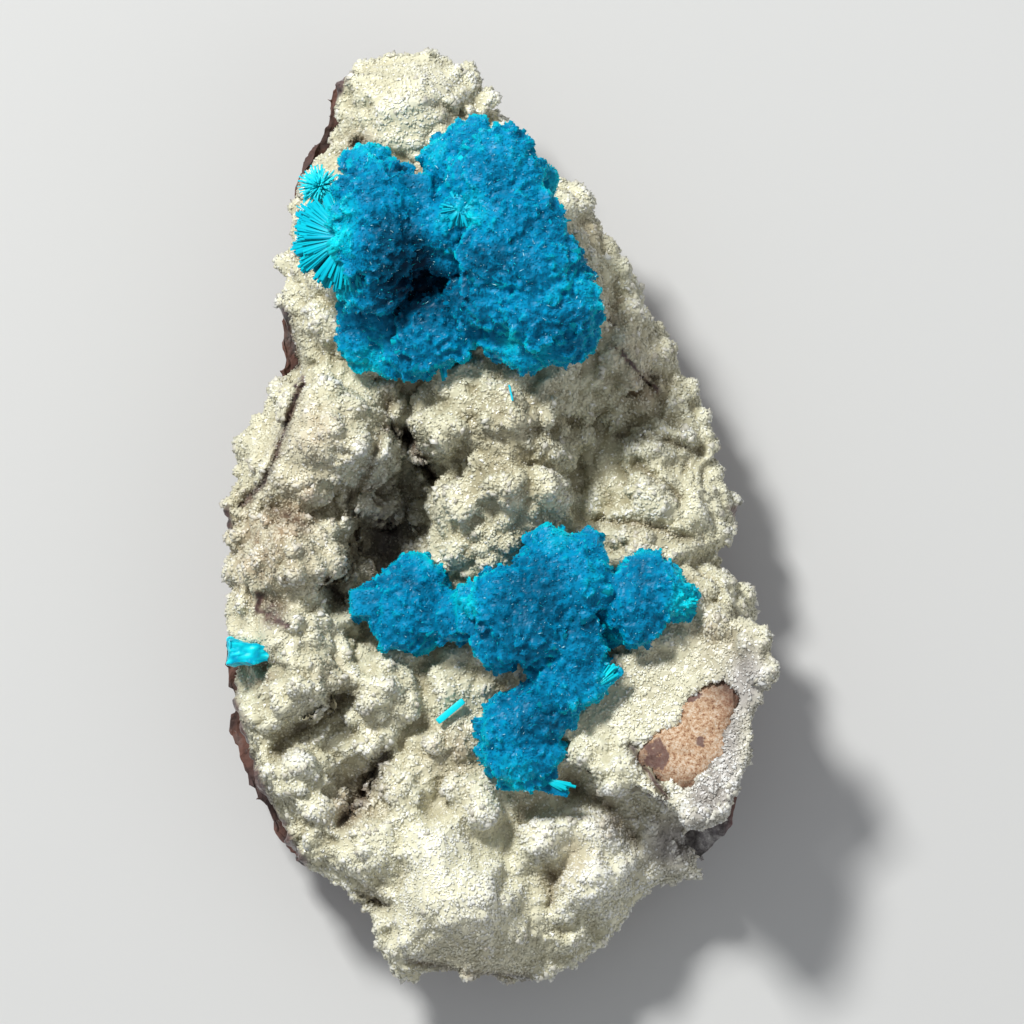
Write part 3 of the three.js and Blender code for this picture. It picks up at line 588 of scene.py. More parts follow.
def buildRims(cluster, rim):  # thin crisp blades in the ends of the blocks at the rims
    places, axes, rolls, sizes = (np.repeat(values, rimBlades["perBlock"], axis=0) for values in rim)
    count, far = len(places), rimBlades["beside"]
    shares = np.column_stack([rng.uniform(*rimBlades[key], count) for key in ("wide", "thick", "long")])
    beside = framesAlong(axes, rolls)[:, :, 1] * (rng.uniform(-far, far, count) * sizes[:, 1])[:, None] * mm
    leaning = jittered(axes, rimBlades["lean"])
    rims = joinedCopies("rims", fanShape, places + beside, leaning, rolls, sizes * shares)
    ends = places + axes * sizes[:, 2:] * mm
    tone = toneOf(cluster, ends, axes, np.zeros(count)) + rimBlades["paler"]
    tone = np.clip(tone + rng.normal(0, blueTone["scatter"], count), 0, blueTone["palest"])
    atRoot = pointsOf(fanShape)[:, 2] < 0
    tone = tone[:, None] - np.where(atRoot, rimBlades["rootDarker"], 0.0)[None]
    setValues(rims, "tone", np.clip(tone, 0, 1).ravel())
    setPerCopy(rims, "ground", axes, fanShape)
    return rims


def buildSlabs(cluster):
    slabs = np.array(cluster["slabs"])
    turns = np.radians(slabs[:, 3])
    axes = np.column_stack([np.cos(turns), np.sin(turns), np.zeros(len(slabs))])
    sizes = slabs[:, [5, 6, 4]]
    return joinedCopies("slabs", lathShape, slabs[:, :3] * mm, axes, np.zeros(len(slabs)), sizes)


def buildCore(cluster):
    balls = stackRosettes(cluster["rosettes"])
    radii = balls[:, 3]
    ball = addShape("ico_sphere", "ball", subdivisions=3, radius=1)
    ups, rolls = np.tile([0.0, 0.0, 1.0], (len(balls), 1)), np.zeros(len(balls))
    sizes = np.column_stack([radii, radii, radii * balls[:, 4]]) * clusterShape["core"]
    core = joinedCopies("cavansiteCore_" + cluster["name"], ball, balls[:, :3] * mm, ups, rolls, sizes)
    dropShapes(ball)
    blocks, rim = rosetteBooks(balls)
    joinInto(core, [blocks, buildSlabs(cluster)])
    core = remeshed(core, clusterShape)
    points, normals = pointsOf(core), normalsOf(core)
    push = layerAt(points, clusterShape, "grain", 7.0, middle=0.4, ridged=True)
    setPoints(core, points + normals * push[:, None] * mm)
    # the relief and the wide hollows set the painted shade and light of the blue tone
    hollows = np.clip(reliefOf(core, clusterShape["hollowRounds"]), *clusterShape["hollowRange"])
    return core, rim, reliefOf(core, clusterShape["reliefRounds"]) + clusterShape["hollowShare"] * hollows


def buildVelvet(cluster, core, rim, relief):  # tiny crystals, with the fans, rim blades and sparkles
    total = velvet[cluster["name"]]
    places, outward, heights = surfaceSamples(core, int(total * velvet["tries"]), relief)
    keep = openPlaces(places, outward, crustTree, velvet["room"])
    keep &= rng.random(len(places)) < velvet["onSides"] + velvet["onTop"] * outward[:, 2]
    places, outward, heights = places[keep][:total], outward[keep][:total], heights[keep][:total]
    count = len(places)
    wide = rng.uniform(*velvet["width"], count)
    high = rng.uniform(*velvet["height"], count)
    axes = jittered(outward, velvet["lean"])
    sizes = np.column_stack([wide, wide, high])
    name = "cavansiteVelvet_" + cluster["name"]
    blades = joinedCopies(name, velvetShape, places, axes, anyRolls(count), sizes)
    tone = toneOf(cluster, places, outward, heights) + rng.normal(0, blueTone["scatter"], count)
    setPerCopy(blades, "tone", np.clip(tone, 0, blueTone["palest"]), velvetShape)
    setPerCopy(blades, "ground", outward, velvetShape)
    joinInto(blades, [buildFans(cluster), buildRims(cluster, rim), buildSparkles(places, outward)])
    return blades


def buildCluster(cluster):
    core, rim, relief = buildCore(cluster)
    blades = buildVelvet(cluster, core, rim, relief)
    tone = toneOf(cluster, pointsOf(core), normalsOf(core), relief) - blueTone["coreDarker"]
    setValues(core, "tone", np.clip(tone, 0, blueTone["palest"]))
    for piece in (core, blades):
        piece.data.materials.append(blueLook)
        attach(piece, "root")
    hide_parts(cluster["node"])
    return core


def toneOf(cluster, places, outward, heights):
    total = blueTone["base"] + layerAt(places, blueTone, "cloud", 11.0)
    total += layerAt(places, blueTone, "spot", 5.0)
    # painted light on steep sides, and painted shade in hollows with light on tops
    steep = np.exp(-((outward[:, 2] - blueTone["steepAt"]) / blueTone["steepSpan"]) ** 2)
    total += blueTone["steep"] * steep + blueTone["relief"] * np.clip(heights, *blueTone["reliefRange"])
    return total + spotsAt(places, cluster["pale"])


def buildFans(cluster):  # sprays of fine blades that spread from one root
    rows = []
    for x, y, z, first, last, length, fall, blades, tone in cluster["fans"]:
        for _ in range(blades):
            angle = math.radians(rng.uniform(first, last))
            wave = 1 + fanBlade["wave"] * noise.noise(Vector((angle * 4, x, y)))
            reach = length * rng.uniform(*fanBlade["reach"]) * wave
            drop = -fall * rng.uniform(*fanBlade["fall"]) + rng.uniform(0, fanBlade["rise"])
            way = np.array([reach * math.cos(angle), reach * math.sin(angle), drop])
            far = np.linalg.norm(way)
            size = (rng.uniform(*fanBlade["wide"]), rng.uniform(*fanBlade["thick"]), 0.52 * far)
            rows.append((np.array([x, y, z]) * mm + 0.5 * way * mm, way / far, size, tone))
    return fanBlades("fans", *(np.array(values) for values in zip(*rows)))


def fanBlades(name, places, axes, sizes, tone):  # blades that widen from their root, which is whiter
    count = len(places)
    fans = joinedCopies(name, fanShape, places, axes, rng.normal(0, fanBlade["roll"], count), sizes)
    tone = tone + rng.uniform(-fanBlade["tones"], fanBlade["tones"], count)
    atRoot = pointsOf(fanShape)[:, 2] < 0
    isWhite = rng.random(count) < fanBlade["whiteShare"]
    rootTone = np.where(isWhite, np.minimum(tone + fanBlade["whiter"], 1.0), tone)
    setValues(fans, "tone", np.where(atRoot[None], rootTone[:, None], tone[:, None]).ravel())
    setPerCopy(fans, "ground", unit(axes * 0.2 + np.array([[-0.2, 0.3, 1.0]])), fanShape)
    return fans


def buildSparkles(places, outward):  # short needles among the blades, near white as painted glints
    picks = rng.choice(len(places), sparkles["count"], replace=False)
    count = len(picks)
    widths = rng.uniform(*sparkles["width"], (count, 2))
    lengths = sparkles["shortest"] + sparkles["longer"] * rng.random(count) ** 4
    spots = places[picks] + outward[picks] * sparkles["above"] * mm
    ways = unit(np.cross(outward[picks], rng.normal(size=(count, 3))))
    sizes = np.column_stack([widths, lengths])
    needles = joinedCopies("sparkles", sparkleShape, spots, ways, anyRolls(count), sizes)
    setPerCopy(needles, "tone", np.where(rng.random(count) < 0.5, 1.0, 0.94), sparkleShape)
    return needles


# the rock

rockShape = dict(voxel=0.55, smoothing=12, chip=0.55, chipCell=6.0, rough=0.35, roughCell=1.6, fine=0.16,
                 fineCell=0.7, foot=0.3, footSpan=1.2)
# seen from above: middle, half width and half length of the bare ochre patch, which lies above its floor
ochrePatch = dict(x=18.5, y=-21, wide=5, long=6, edge=1.5, floor=20, floorSpan=2, raised=0.5)
darkSpotsAndShadow = [(15.6, -23.4, 1.6, 2.0), (19.4, -17.2, 0.8, 1.1), (20.0, -21.9, 0.7, 0.7)]  # dark spots on the patch; the first, along its lower left edge, is painted shadow of the raised edge
redTip = (24.0, -30.8, 0.9)
greyLedge = (20.6, -33.0, 3.4)


def buildRock():
    rock = remeshed(copyOfNode("basalt_host_rock", "basaltRock"), rockShape)
    points, normals = pointsOf(rock), normalsOf(rock)
    flat, height = points[:, :2] / mm, points[:, 2] / mm
    patch = ochrePatch
    onPatch = nearness(flat, patch["x"], patch["y"], patch["wide"], patch["long"], 2)
    onPatch = onPatch * np.clip((height - patch["floor"]) / patch["floorSpan"], 0, 1)
    push = patch["raised"] * onPatch + layerAt(points, rockShape, "chip", middle=0.3) * (1 - onPatch)
    push += layerAt(points, rockShape, "rough", middle=0.3) + layerAt(points, rockShape, "fine")
    foot = np.clip((height - rockShape["foot"]) / rockShape["footSpan"], 0, 1)  # the rest face stays flat
    moved = points + normals * (push * foot)[:, None] * mm
    moved[:, 2] = np.maximum(moved[:, 2], 0)
    setPoints(rock, nudged(moved, rim=-0.3, ragged=0, limit=0.9))
    spots = sum(nearness(moved[:, :2] / mm, *spot, 4) for spot in darkSpotsAndShadow)
    darkAndShade = spots * (1.0 + 0.8 * noiseAt(points, 0.8, 3.0)) * onPatch
    x, y, radius = greyLedge
    setValues(rock, "ochre", onPatch)
    setValues(rock, "darkAndShade", np.clip(darkAndShade, 0, 0.85))
    setValues(rock, "red", nearness(flat, *redTip))
    setValues(rock, "ash", nearness(flat, x, y, radius, power=2))
    rock.data.materials.append(basaltLook)
    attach(rock, "root")
    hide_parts("basalt_host_rock")
    return rock


# the pale crust and its druse

crustShape = dict(voxel=0.42, knobs=900, tries=2.2, room=2.0, leastLumps=0.6, knobRadius=(0.8, 2.0),
                  knobSink=0.45, knobUneven=(0.85, 1.15), lump=0.8, lumpCell=3.4, small=0.45, smallCell=1.6,
                  bareDepth=0.3, reliefRounds=24)
druse = dict(pieces=4, perPiece=23500, tries=2.0, room=1.2, width=(0.11, 0.23), height=(0.12, 0.28),
             spread=0.4, coarse=0.3, coarseCell=4.0, bigShare=0.04, bigger=1.5)
# the relief share paints shade into hollows and light onto tops
druseTone = dict(base=0.58, cloud=0.22, cloudCell=6, relief=0.35, scatter=0.14, whiteShare=0.035)
# glassy crystals, which are larger, on the edges of the lumps
glassy = dict(share=0.22, above=0.15, size=(1.8, 2.6), tone=(0.45, 0.85), ash=0.55, soft=0.2)
# tan and brown stains, and painted shade in creases and on the middle ridge: x, y, radius, strength
stainAndShadeSpots = [
    (-13.7, 37.5, 1.4, 1.0), (-8.3, 34.4, 1.4, 0.9), (-9.4, 14, 3, 0.4), (-20.8, 0, 1.8, 0.7),
    (-18.4, 9.6, 2.4, 0.5), (-24, -1.6, 3, 0.45), (-19, 2, 2, 0.4), (-23, -6, 3, 0.3),
    (-23.5, -15.2, 1.4, 0.8), (-13.6, -27.4, 2.4, 0.7), (-15.4, -29, 2, 0.6), (-4, -22.4, 2.6, 0.4),
    (-12.8, -37.8, 1.6, 0.4), (-3, -45, 5, 0.3), (13.4, 16.4, 3.6, 0.35), (14.4, 13, 2.2, 0.7),
    (9.6, 29, 1.6, 0.6), (12.2, 21, 1.6, 0.5), (14, -2.2, 1.8, 0.3), (8, -33.6, 2, 0.5),
    (11.4, -30, 1.8, 0.5), (5.6, -36, 1.6, 0.5), (2.6, -29.6, 1.8, 0.4), (-17, -15, 1.6, 0.4),
    (21.4, -11.4, 2.4, 0.5), (12, -17, 4, 0.2), (-24, -3, 6, 0.35), (-19, 6, 5, 0.3), (-5, -24, 4, 0.25),
    (3, 10, 4, 0.2), (-17, -3, 4, 0.2), (17, -6, 4, 0.15),
]
# clefts, holes and cracks, seen from above: corners, half width, depth, and darkness, which is painted shade
# in basalt colour
clefts = [
    ([(-11, 9.2), (-9, 8.6), (-8, 6.5), (-6.5, 4.6)], 0.7, 4.0, 0.8),
    ([(-11.2, -0.4), (-10.8, -0.6)], 0.7, 2.5, 0.6), ([(-8.3, -0.6), (-7.6, -0.8)], 0.5, 2.0, 0.6),
    ([(-16.8, -6.4), (-15.8, -7.6)], 0.9, 3.0, 0.7), ([(-22.6, 1.2), (-19, -0.6)], 0.8, 1.8, 0.5),
    ([(-15, -17), (-18.5, -19.6), (-22, -23)], 1.1, 2.2, 0.3),
    ([(-11.5, -23.5), (-13.8, -28), (-15.5, -29.8)], 0.8, 2.6, 0.7),
    ([(-14.3, -37.3), (-11, -38.5)], 0.4, 1.0, 0.5),
    ([(-19.6, 13.6), (-20.6, 11), (-21.6, 8), (-23.2, 4), (-26, 1.3)], 0.42, 1.1, 0.95),
    ([(-20.9, 19.6), (-20.2, 15.6)], 0.6, 0.8, 0.9), ([(-13.8, 37.6), (-13.5, 37.3)], 0.8, 2.4, 0.8),
    ([(-6.9, 33.4), (-6.6, 32.9)], 0.5, 1.6, 0.8), ([(-6, 41.5), (-3, 40)], 0.6, 1.2, 0.2),
    ([(12, 8.5), (16, 8.2), (20, 7)], 0.6, 1.6, 0.2), ([(14, 5.5), (18, 2.5)], 0.5, 1.4, 0.2),
    ([(10, 0), (15, -0.4), (20, -2)], 0.6, 1.4, 0.2), ([(14.2, 14.4), (15.8, 14.6)], 0.5, 1.2, 0.5),
    ([(-9, -44), (-3, -45.4), (3, -45.8)], 0.5, 0.6, 0.6), ([(-22.8, -8.6), (-22.4, -9.6)], 1.1, 0.9, 0.9),
    ([(4.4, -33.6), (5.6, -36), (5.2, -38.6)], 0.5, 1.0, 0.2),
    ([(13.4, -22.6), (16.8, -27.6)], 0.42, 1.6, 1.0),
    ([(7, -26.4), (11, -28.6), (13.4, -31.6)], 1.0, 2.2, 0.4),
    ([(-25.6, -13.9), (-23.6, -14.4), (-22.4, -13.4)], 0.9, 0.9, 0.0),
    ([(-5.9, -20), (-3.4, -18)], 0.7, 0.25, 0.0),
    ([(-11.0, 12), (-11.8, 8), (-13.6, 3.6), (-15, 1.8)], 0.7, 1.8, 0.3),
    ([(-14.4, 0.6), (-14.6, -4), (-16.4, -7.4)], 0.7, 1.8, 0.3),
    ([(-12.4, 4), (-11, -1), (-12.6, -4.6)], 2.0, 1.2, 0.0),
    ([(22.6, -17), (21.4, -19.5), (20.2, -22), (20.8, -24.5)], 0.7, 0.9, 0.35),
]
ashPlaces = [(22.6, -22, 2.4, 5.5), (25, -15.5, 2.0, 3.5), (21, -27.6, 2.6, 2.6),
             (-11.5, -1.5, 2.8, 6.0), (17.6, -32.5, 3.4, 3.0)]
# x, y, radius, and how much paler (painted light) or darker (painted shade) the crust and its crystals are
paintedLightPlaces = [
    (-4, -36, 10, 0.24), (11, -33, 5.5, 0.42), (0, 7, 6, -0.32), (-12, -2, 3.5, -0.3), (17, -33, 3, -0.2),
    (8, 9, 4, -0.15), (-6, 44, 6, 0.12), (-21, 9, 4, 0.18), (24, -30, 3, 0.1), (12, -20, 5, 0.15),
    (22.6, -21, 1.6, -0.25),
]
# y, then x of the left and of the right side, and how far each of them is shifted along x
sideShifts = [
    (47, -12, -4, -0.4, 0.8), (44, -16, -1, -1.6, 0), (40, -17, 1, 0.0, -2.0), (36, -20, 4, -0.8, -2.1),
    (32, -21, 9.5, -0.6, -0.1), (28, -21.4, 11, 0.2, -0.6), (24, -21.8, 14, 0.5, -0.6),
    (20, -22.2, 16, -0.7, -0.9), (16, -22, 18, 0.3, -1.2), (12, -23.7, 20.4, 0.4, -0.8),
    (8, -26.2, 21.9, -0.3, -0.4), (4, -27, 22.3, 0.3, -0.8), (1, -27.2, 24.4, 0.4, 0.5),
    (-2, -27.6, 23.8, 0.9, -0.5), (-4.5, -27.6, 21.8, 0.7, -2.2), (-6, -27.6, 24, 0.8, -0.5),
    (-8, -27.8, 25, 0.8, -0.6), (-12, -27.7, 27, -0.4, -0.3), (-16, -27.4, 27.4, -0.8, -0.3),
    (-18, -27.1, 26.8, -0.5, 1.4), (-22, -26.7, 25, -0.6, 1.6), (-26, -25.3, 24.4, -0.9, 1.2),
    (-30, -22.8, 23.4, -0.4, 0.5), (-34, -20.8, 20, -1.6, 0.2), (-36, -16.8, 18.5, 1.2, 2.0),
    (-38, -14.7, 13.6, 1.2, -0.8), (-42, -12.4, 10.6, 0.5, -0.4), (-44, -11.8, 8.3, -0.3, -1.4),
    (-46, -9.4, 5.1, 0.7, -0.2),
]
sides = dict(reach=4.5, top=48, topReach=4, topShift=0.2)
# y and half length of the stretches where the basalt shows, and how far
leftRims = [(39.5, 7, 1.0), (17.5, 3.6, 0.9), (-24, 12, 0.25)]
# bare strips of basalt in the crust: corners, half width
bareStrips = [
    ([(-15.4, 45.2), (-16.9, 42), (-18.2, 38), (-19.9, 35.5), (-20.8, 33)], 0.85),
    ([(-21.6, 20.8), (-21.2, 17.5), (-21.8, 15)], 0.85), ([(-19.5, 14.2), (-20.3, 12.4), (-21, 10)], 0.4),
    ([(-27.6, -12), (-27, -18), (-25.2, -24), (-23.2, -29), (-19.8, -34.8)], 1.0),
    ([(-23.8, -7.2), (-24.2, -9.0), (-22.6, -9.8), (-21.2, -10.3)], 0.42),
    ([(24, 1), (25, 0.6)], 0.9), ([(-27.2, 1.2), (-26.8, -0.6)], 0.5),
    ([(11.4, 17.6), (14.6, 14.4), (15.8, 13.2)], 0.22), ([(10, 21.2), (11.8, 19.4)], 0.2),
]
paleDot = (-22.7, -9.9, 0.34)  # a ring of druse in the strip at the left, with its radius
# places where the crust is smoother: x, y, radius, share of its lumps that is left
calmPlaces = [
    (-4.6, -19, 1.6, 0.1), (-3.6, -18.2, 1.4, 0.1), (-5.8, -20, 1.4, 0.1), (1.3, 12.7, 1.2, 0.2),
    (-24.9, -12.9, 2.6, 0.3), (-4, -37, 9, 0.42), (8.5, -35, 5.5, 0.35),
    (-8, 43, 5, 0.35), (-22, 8, 4, 0.5), (17, -18, 6, 0.25), (12, -19, 4.4, 0.25), (22, -15, 5, 0.25),
    (17, -25, 5, 0.3), (24, -21, 4, 0.3),
]


def calmAt(places):
    flat = places[:, :2] / mm
    return np.min([1 - (1 - left) * nearness(flat, x, y, radius, power=2)
                   for x, y, radius, left in calmPlaces], axis=0)


def fading(away, span):  # 1 at a side and less towards the middle
    return np.exp(-np.clip(away / span, 0, None) ** 2)


# the rim is how far the left side goes in where basalt shows, and ragged how uneven the patch's edge is
def nudged(points, rim, ragged, limit):
    table = np.array(sideShifts)[::-1]
    flat = points[:, :2] / mm
    x, y = flat.T
    left, right, moveLeft, moveRight = (np.interp(y, table[:, 0], table[:, k]) for k in range(1, 5))
    moveRight = np.clip(moveRight, -limit, limit)
    for middle, half, far in leftRims:
        moveLeft = moveLeft + rim * far * np.exp(-((y - middle) / half) ** 4)
    moved = points.copy()
    moved[:, 0] += moveLeft * fading(x - left, sides["reach"]) * mm
    moved[:, 0] += moveRight * fading(right - x, sides["reach"]) * mm
    moved[:, 1] -= sides["topShift"] * fading(sides["top"] - y, sides["topReach"]) * mm
    if ragged:
        wide, long = ochrePatch["wide"] + ochrePatch["edge"], ochrePatch["long"] + ochrePatch["edge"]
        near = ragged * nearness(flat, ochrePatch["x"], ochrePatch["y"], wide, long, 3)
        moved[:, 0] += near * noiseAt(points, 1.7, 21.0) * mm
        moved[:, 1] += near * noiseAt(points, 1.7, 27.0) * mm
    return moved


def wavy(places, far, cell):  # the places seen from above, shifted a little so that edges are uneven
    shifts = np.column_stack([noiseAt(places, cell, 3.0), noiseAt(places, cell, 8.0)])
    return places[:, :2] / mm + far * shifts


def bareAt(places):  # 1 in the middle of the bare strips, 0 outside
    flat = wavy(places, 0.5, 1.1)
    bare = np.max([np.clip(2 - 1.6 * lineDistance(flat, corners) / width, 0, 1)
                   for corners, width in bareStrips], axis=0)
    return bare * (1 - nearness(places[:, :2] / mm, *paleDot, power=2))


def lineDistance(flat, corners):  # from places seen from above to a line of corners
    nearest = np.full(len(flat), 1e9)
    for start, end in zip(corners[:-1], corners[1:]):
        way = np.subtract(end, start)
        share = np.clip((flat - start) @ way / (way @ way), 0, 1)
        nearest = np.minimum(nearest, np.linalg.norm(flat - start - share[:, None] * way, axis=1))
    return nearest


def cleftAt(places):  # how deep the clefts are at each place, and how much painted shade darkens them
    flat = wavy(places, 0.25, 1.0)
    uneven = np.clip(1 + 0.6 * noiseAt(places, 2.0, 12.0), 0.6, 1.3)
    depth, cleftShade = np.zeros(len(flat)), np.zeros(len(flat))
    for corners, width, deep, shadeStrength in clefts:
        near = np.exp(-(lineDistance(flat, corners) / (width * uneven)) ** 2)
        depth = np.maximum(depth, deep * near)
        cleftShade = np.maximum(cleftShade, shadeStrength * near)
    return depth, cleftShade


def marksAt(places):  # stains with painted shade, bare basalt with painted cleft shade, and grey ash places on the crust
    stainAndShade = spotsAt(places, stainAndShadeSpots) * (0.8 + 0.6 * noiseAt(places, 1.5, 6.0))
    darkAndShade = np.maximum(cleftAt(places)[1], bareAt(places))
    ash = sum(nearness(places[:, :2] / mm, *spot) for spot in ashPlaces)
    return np.clip(stainAndShade, 0, 1), darkAndShade, np.clip(ash, 0, 0.9)


def buildCrust():
    crust = copyOfNode("zeolite_crust", "zeoliteCrust")
    total = crustShape["knobs"]
    places, outward = surfaceSamples(crust, int(total * crustShape["tries"]))
    keep = openPlaces(places, outward, rockTree, crustShape["room"])
    keep &= calmAt(places) > crustShape["leastLumps"]
    places, outward = places[keep][:total], outward[keep][:total]
    count = len(places)
    low, high = crustShape["knobRadius"]
    radii = low + (high - low) * rng.random(count) ** 2
    middles = places - outward * (radii * crustShape["knobSink"])[:, None] * mm
    sizes = radii[:, None] * rng.uniform(*crustShape["knobUneven"], (count, 3))
    joinInto(crust, [joinedCopies("knobs", knobShape, middles, outward, anyRolls(count), sizes)])
    crust = remeshed(crust, crustShape)
    points, normals = pointsOf(crust), normalsOf(crust)
    push = layerAt(points, crustShape, "lump", 2.0, middle=0.55, ridged=True)
    push += layerAt(points, crustShape, "small", 4.0, middle=0.5, ridged=True)
    bare = bareAt(points)
    push = push * calmAt(points) * (1 - 0.6 * bare) - crustShape["bareDepth"] * bare
    points = nudged(points + normals * push[:, None] * mm, rim=0.9, ragged=1.0, limit=2.2)
    points[:, 2] -= cleftAt(points)[0] * np.clip(3 * normals[:, 2], 0, 1) * mm
    setPoints(crust, points)
    relief = reliefOf(crust, crustShape["reliefRounds"])
    # painted shade in creases and painted light on tops through the relief, with the painted light and shade
    # of the light places
    tone = 0.3 + 0.2 * noiseAt(points, 5, 1.0) + 0.5 * relief + spotsAt(points, paintedLightPlaces)
    setValues(crust, "tone", np.clip(tone, 0, 1))
    for name, values in zip(("stainAndShade", "darkAndShade", "ash"), marksAt(points)):
        setValues(crust, name, values)
    crust.data.materials.append(druseLook)
    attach(crust, "root")
    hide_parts("zeolite_crust")
    return crust, relief


def buildDruse(crust, relief, blockers):
    total = druse["pieces"] * druse["perPiece"]
    places, outward, relief = surfaceSamples(crust, int(total * druse["tries"]), relief)
    keep = openPlaces(places, outward, blockers, druse["room"]) & (bareAt(places) < 0.5)
    places, outward, relief = places[keep][:total], outward[keep][:total], relief[keep][:total]
    print("druse crystals", len(places))
    order = np.argsort(places[:, 1])
    for part, picks in enumerate(np.array_split(order, druse["pieces"])):
        buildDrusePart(f"druseCrystals{part + 1}", places[picks], outward[picks], relief[picks])


def buildDrusePart(name, places, outward, height):
    count = len(places)
    coarse = 1 + layerAt(places, druse, "coarse", 9.0) + 0.5 * np.clip(height, -0.3, 0.8)
    coarse *= np.where(rng.random(count) < druse["bigShare"], druse["bigger"], 1.0)
    isGlassy = rng.random(count) < glassy["share"] * np.clip(height - glassy["above"], 0, 0.5)
    coarse = np.where(isGlassy, rng.uniform(*glassy["size"], count), coarse)
    wide = rng.uniform(*druse["width"], count) * coarse
    high = rng.uniform(*druse["height"], count) * coarse
    sizes = np.column_stack([wide, wide, high])
    kinds = rng.integers(0, len(druseShapes), count)
    axes = jittered(outward, druse["spread"])
    rolls = anyRolls(count)
    # painted shade in hollows and painted light on tops through the relief share, with the painted light
    # places
    tone = druseTone["base"] + layerAt(places, druseTone, "cloud", 5.0) + druseTone["relief"] * height
    tone += rng.normal(0, druseTone["scatter"], count) + spotsAt(places, paintedLightPlaces)
    # painted glints: a share of the crystals are pure white
    tone = np.where(rng.random(count) < druseTone["whiteShare"], 1.0, np.clip(tone, 0, 1))
    tone = np.where(isGlassy, rng.uniform(*glassy["tone"], count), tone)
    stainAndShade, darkAndShade, ash = marksAt(places)
    # painted shade: hollows pushed towards dark tan through the stain attribute
    hollowShade = np.clip(-0.6 * height - 0.08, 0, 0.6)
    looks = dict(
        tone=tone,
        stainAndShade=np.clip(stainAndShade + hollowShade, 0, 1) * rng.uniform(0.5, 1, count),
        darkAndShade=darkAndShade * rng.uniform(0.6, 1, count),
        ash=np.where(isGlassy, glassy["ash"], ash),
        ground=outward * np.where(isGlassy, glassy["soft"], 1.0)[:, None],
    )
    pieces = []
    for kind, shape in enumerate(druseShapes):
        mine = kinds == kind
        piece = joinedCopies(f"{name}_{kind}", shape, places[mine], axes[mine], rolls[mine], sizes[mine])
        for look, values in looks.items():
            setPerCopy(piece, look, values[mine], shape)
        pieces.append(piece)
    whole = pieces[0]
    joinInto(whole, pieces[1:])
    whole.name = name
    whole.data.materials.append(druseLook)
    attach(whole, "root")


rock = buildRock()
print("rock done", len(rock.data.polygons))
rockTree = treeOf(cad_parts["basalt_host_rock"])
crust, crustRelief = buildCrust()
print("crust done", len(crust.data.polygons))
crustTree = treeOf(crust)
cores = [buildCluster(upperCluster), buildCluster(lowerCluster)]
print("clusters done", [len(core.data.polygons) for core in cores])
buildDruse(crust, crustRelief, treeOf(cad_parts["basalt_host_rock"], *cores))
print("druse done")


# the small loose crystals

wedgeShape = dict(voxel=0.13, furrow=0.07, furrowCell=(2.0, 0.5, 0.5), lump=0.5, lumpCell=1.6, grain=0.06,
                  grainCell=0.4, tone=0.74, furrowTone=0.3, toneRange=(0.4, 0.97))
# a lath between two ends, with its half width and half thickness
loosePrism = dict(node="cavansite_loose_prism", start=(-6.2, -20.2, 20.6), end=(-3.4, -17.9, 20.6), wide=0.33,
                  thick=0.2)
tinyNeedle = dict(node="cavansite_tiny_needle", start=(1.1, 13.6, 31.2), end=(1.5, 11.8, 31.7), wide=0.1,
                  thick=0.1)
lath = dict(shorter=0.12, loose=0.05, tone=(0.78, 0.93))
spray = dict(root=(-17.8, 33.4, 24.2), blades=260, length=(1.3, 2.4), width=(0.12, 0.3), thick=(0.06, 0.14),
             lowest=-0.05, tone=0.87)


def finishPale(piece, node):
    piece.data.materials.append(blueLook)
    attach(piece, "root")
    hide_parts(node)


def buildWedge():
    wedge = copyOfNode("cavansite_wedge_left", "wedgeCrystal")
    applyModifier(wedge, "REMESH", mode="VOXEL", voxel_size=wedgeShape["voxel"] * mm)
    points, normals = pointsOf(wedge), normalsOf(wedge)
    furrows = 2 * np.abs(noiseAt(points / np.array(wedgeShape["furrowCell"]), 1.0, 4.0))
    push = wedgeShape["furrow"] * (furrows - 0.5) + layerAt(points, wedgeShape, "grain")
    push += layerAt(points, wedgeShape, "lump", middle=0.1)
    setPoints(wedge, points + normals * push[:, None] * mm)
    tone = wedgeShape["tone"] + wedgeShape["furrowTone"] * (furrows - 0.4) + 0.2 * noiseAt(points, 1.0, 2.0)
    setValues(wedge, "tone", np.clip(tone, *wedgeShape["toneRange"]))
    finishPale(wedge, "cavansite_wedge_left")


def buildLath(look):
    start, end = np.array(look["start"]), np.array(look["end"])
    way = end - start
    far = np.linalg.norm(way)
    place = ((start + end) / 2 + rng.uniform(-lath["loose"], lath["loose"]) * way) * mm
    sizes = np.array([[look["wide"], look["thick"], far / 2 - lath["shorter"]]])
    piece = joinedCopies(look["node"] + "Look", lathShape, place[None], way[None] / far, np.zeros(1), sizes)
    setPerCopy(piece, "tone", rng.uniform(*lath["tone"], 1), lathShape)
    finishPale(piece, look["node"])


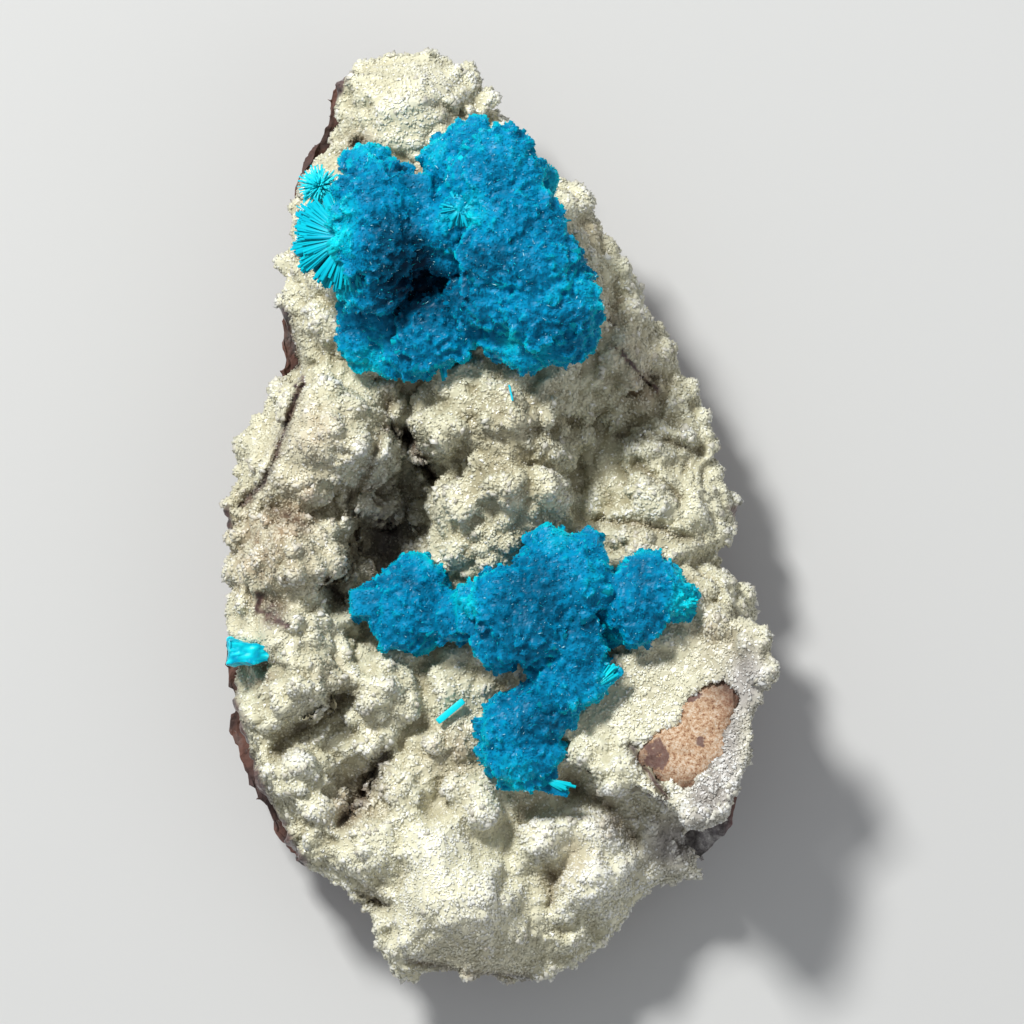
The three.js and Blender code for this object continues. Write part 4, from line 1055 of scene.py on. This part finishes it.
def buildSpray():
    count = spray["blades"]
    ways = unit(rng.normal(size=(count * 3, 3)))
    ways = ways[ways[:, 2] > spray["lowest"]][:count]
    lengths = rng.uniform(*spray["length"], count)
    places = (np.array(spray["root"]) + 0.5 * ways * lengths[:, None]) * mm
    wide, thick = (rng.uniform(*spray[key], count) for key in ("width", "thick"))
    sizes = np.column_stack([wide, thick, lengths / 2])
    tuft = fanBlades("sprayTuft", places, ways, sizes, np.full(count, spray["tone"]))
    finishPale(tuft, "cavansite_spray_small")


buildWedge()
buildLath(loosePrism)
buildLath(tinyNeedle)
buildSpray()
dropShapes(sparkleShape, velvetShape, knobShape, bookShape, lathShape, fanShape, *druseShapes)
print("small pieces done")


# floor, light and camera

stageSetup = dict(floorSize=4.0, floorColor=(0.62, 0.62, 0.60, 1), skyColor=(0.9, 0.93, 1.0, 1), sky=0.37,
                  cameraHeight=2.0, middle=(1.4, 0.9), frameWidth=102.4, focusHeight=20.0, sensor=36)
# name, direction it shines from, distance, size, power
lights = [("keyLight", (-0.4, 0.6, 1.0), 0.9, 0.13, 8.1), ("fillLight", (0.8, -0.5, 1.0), 1.0, 0.8, 0.9)]


def buildStage():
    floor = addShape("plane", "paleFloor", size=stageSetup["floorSize"], location=(0, 0, 0))
    material, tree, shader = newMaterial("paleFloor", 0.9, 0.2)
    shader.inputs["Base Color"].default_value = stageSetup["floorColor"]
    floor.data.materials.append(material)

    world = bpy.data.worlds.new("studio")
    bpy.context.scene.world = world
    world.use_nodes = True
    background = world.node_tree.nodes["Background"]
    background.inputs["Color"].default_value = stageSetup["skyColor"]
    background.inputs["Strength"].default_value = stageSetup["sky"]
    bpy.context.scene.view_settings.view_transform = "Standard"

    for name, direction, distance, size, power in lights:
        place = Vector(direction).normalized() * distance
        bpy.ops.object.light_add(type="AREA", location=place)
        light = bpy.context.object
        light.name = name
        light.data.size = size
        light.data.energy = power
        light.rotation_euler = place.to_track_quat("Z", "Y").to_euler()

    camera = bpy.data.objects.new("camera", bpy.data.cameras.new("camera"))
    bpy.context.scene.collection.objects.link(camera)
    x, y = stageSetup["middle"]
    camera.location = (x * mm, y * mm, stageSetup["cameraHeight"])
    reach = stageSetup["cameraHeight"] / mm - stageSetup["focusHeight"]
    camera.data.sensor_width = stageSetup["sensor"]
    camera.data.lens = stageSetup["sensor"] * reach / stageSetup["frameWidth"]
    camera.data.clip_start = 0.1
    camera.data.clip_end = 10
    bpy.context.scene.camera = camera


buildStage()
print("stage done")
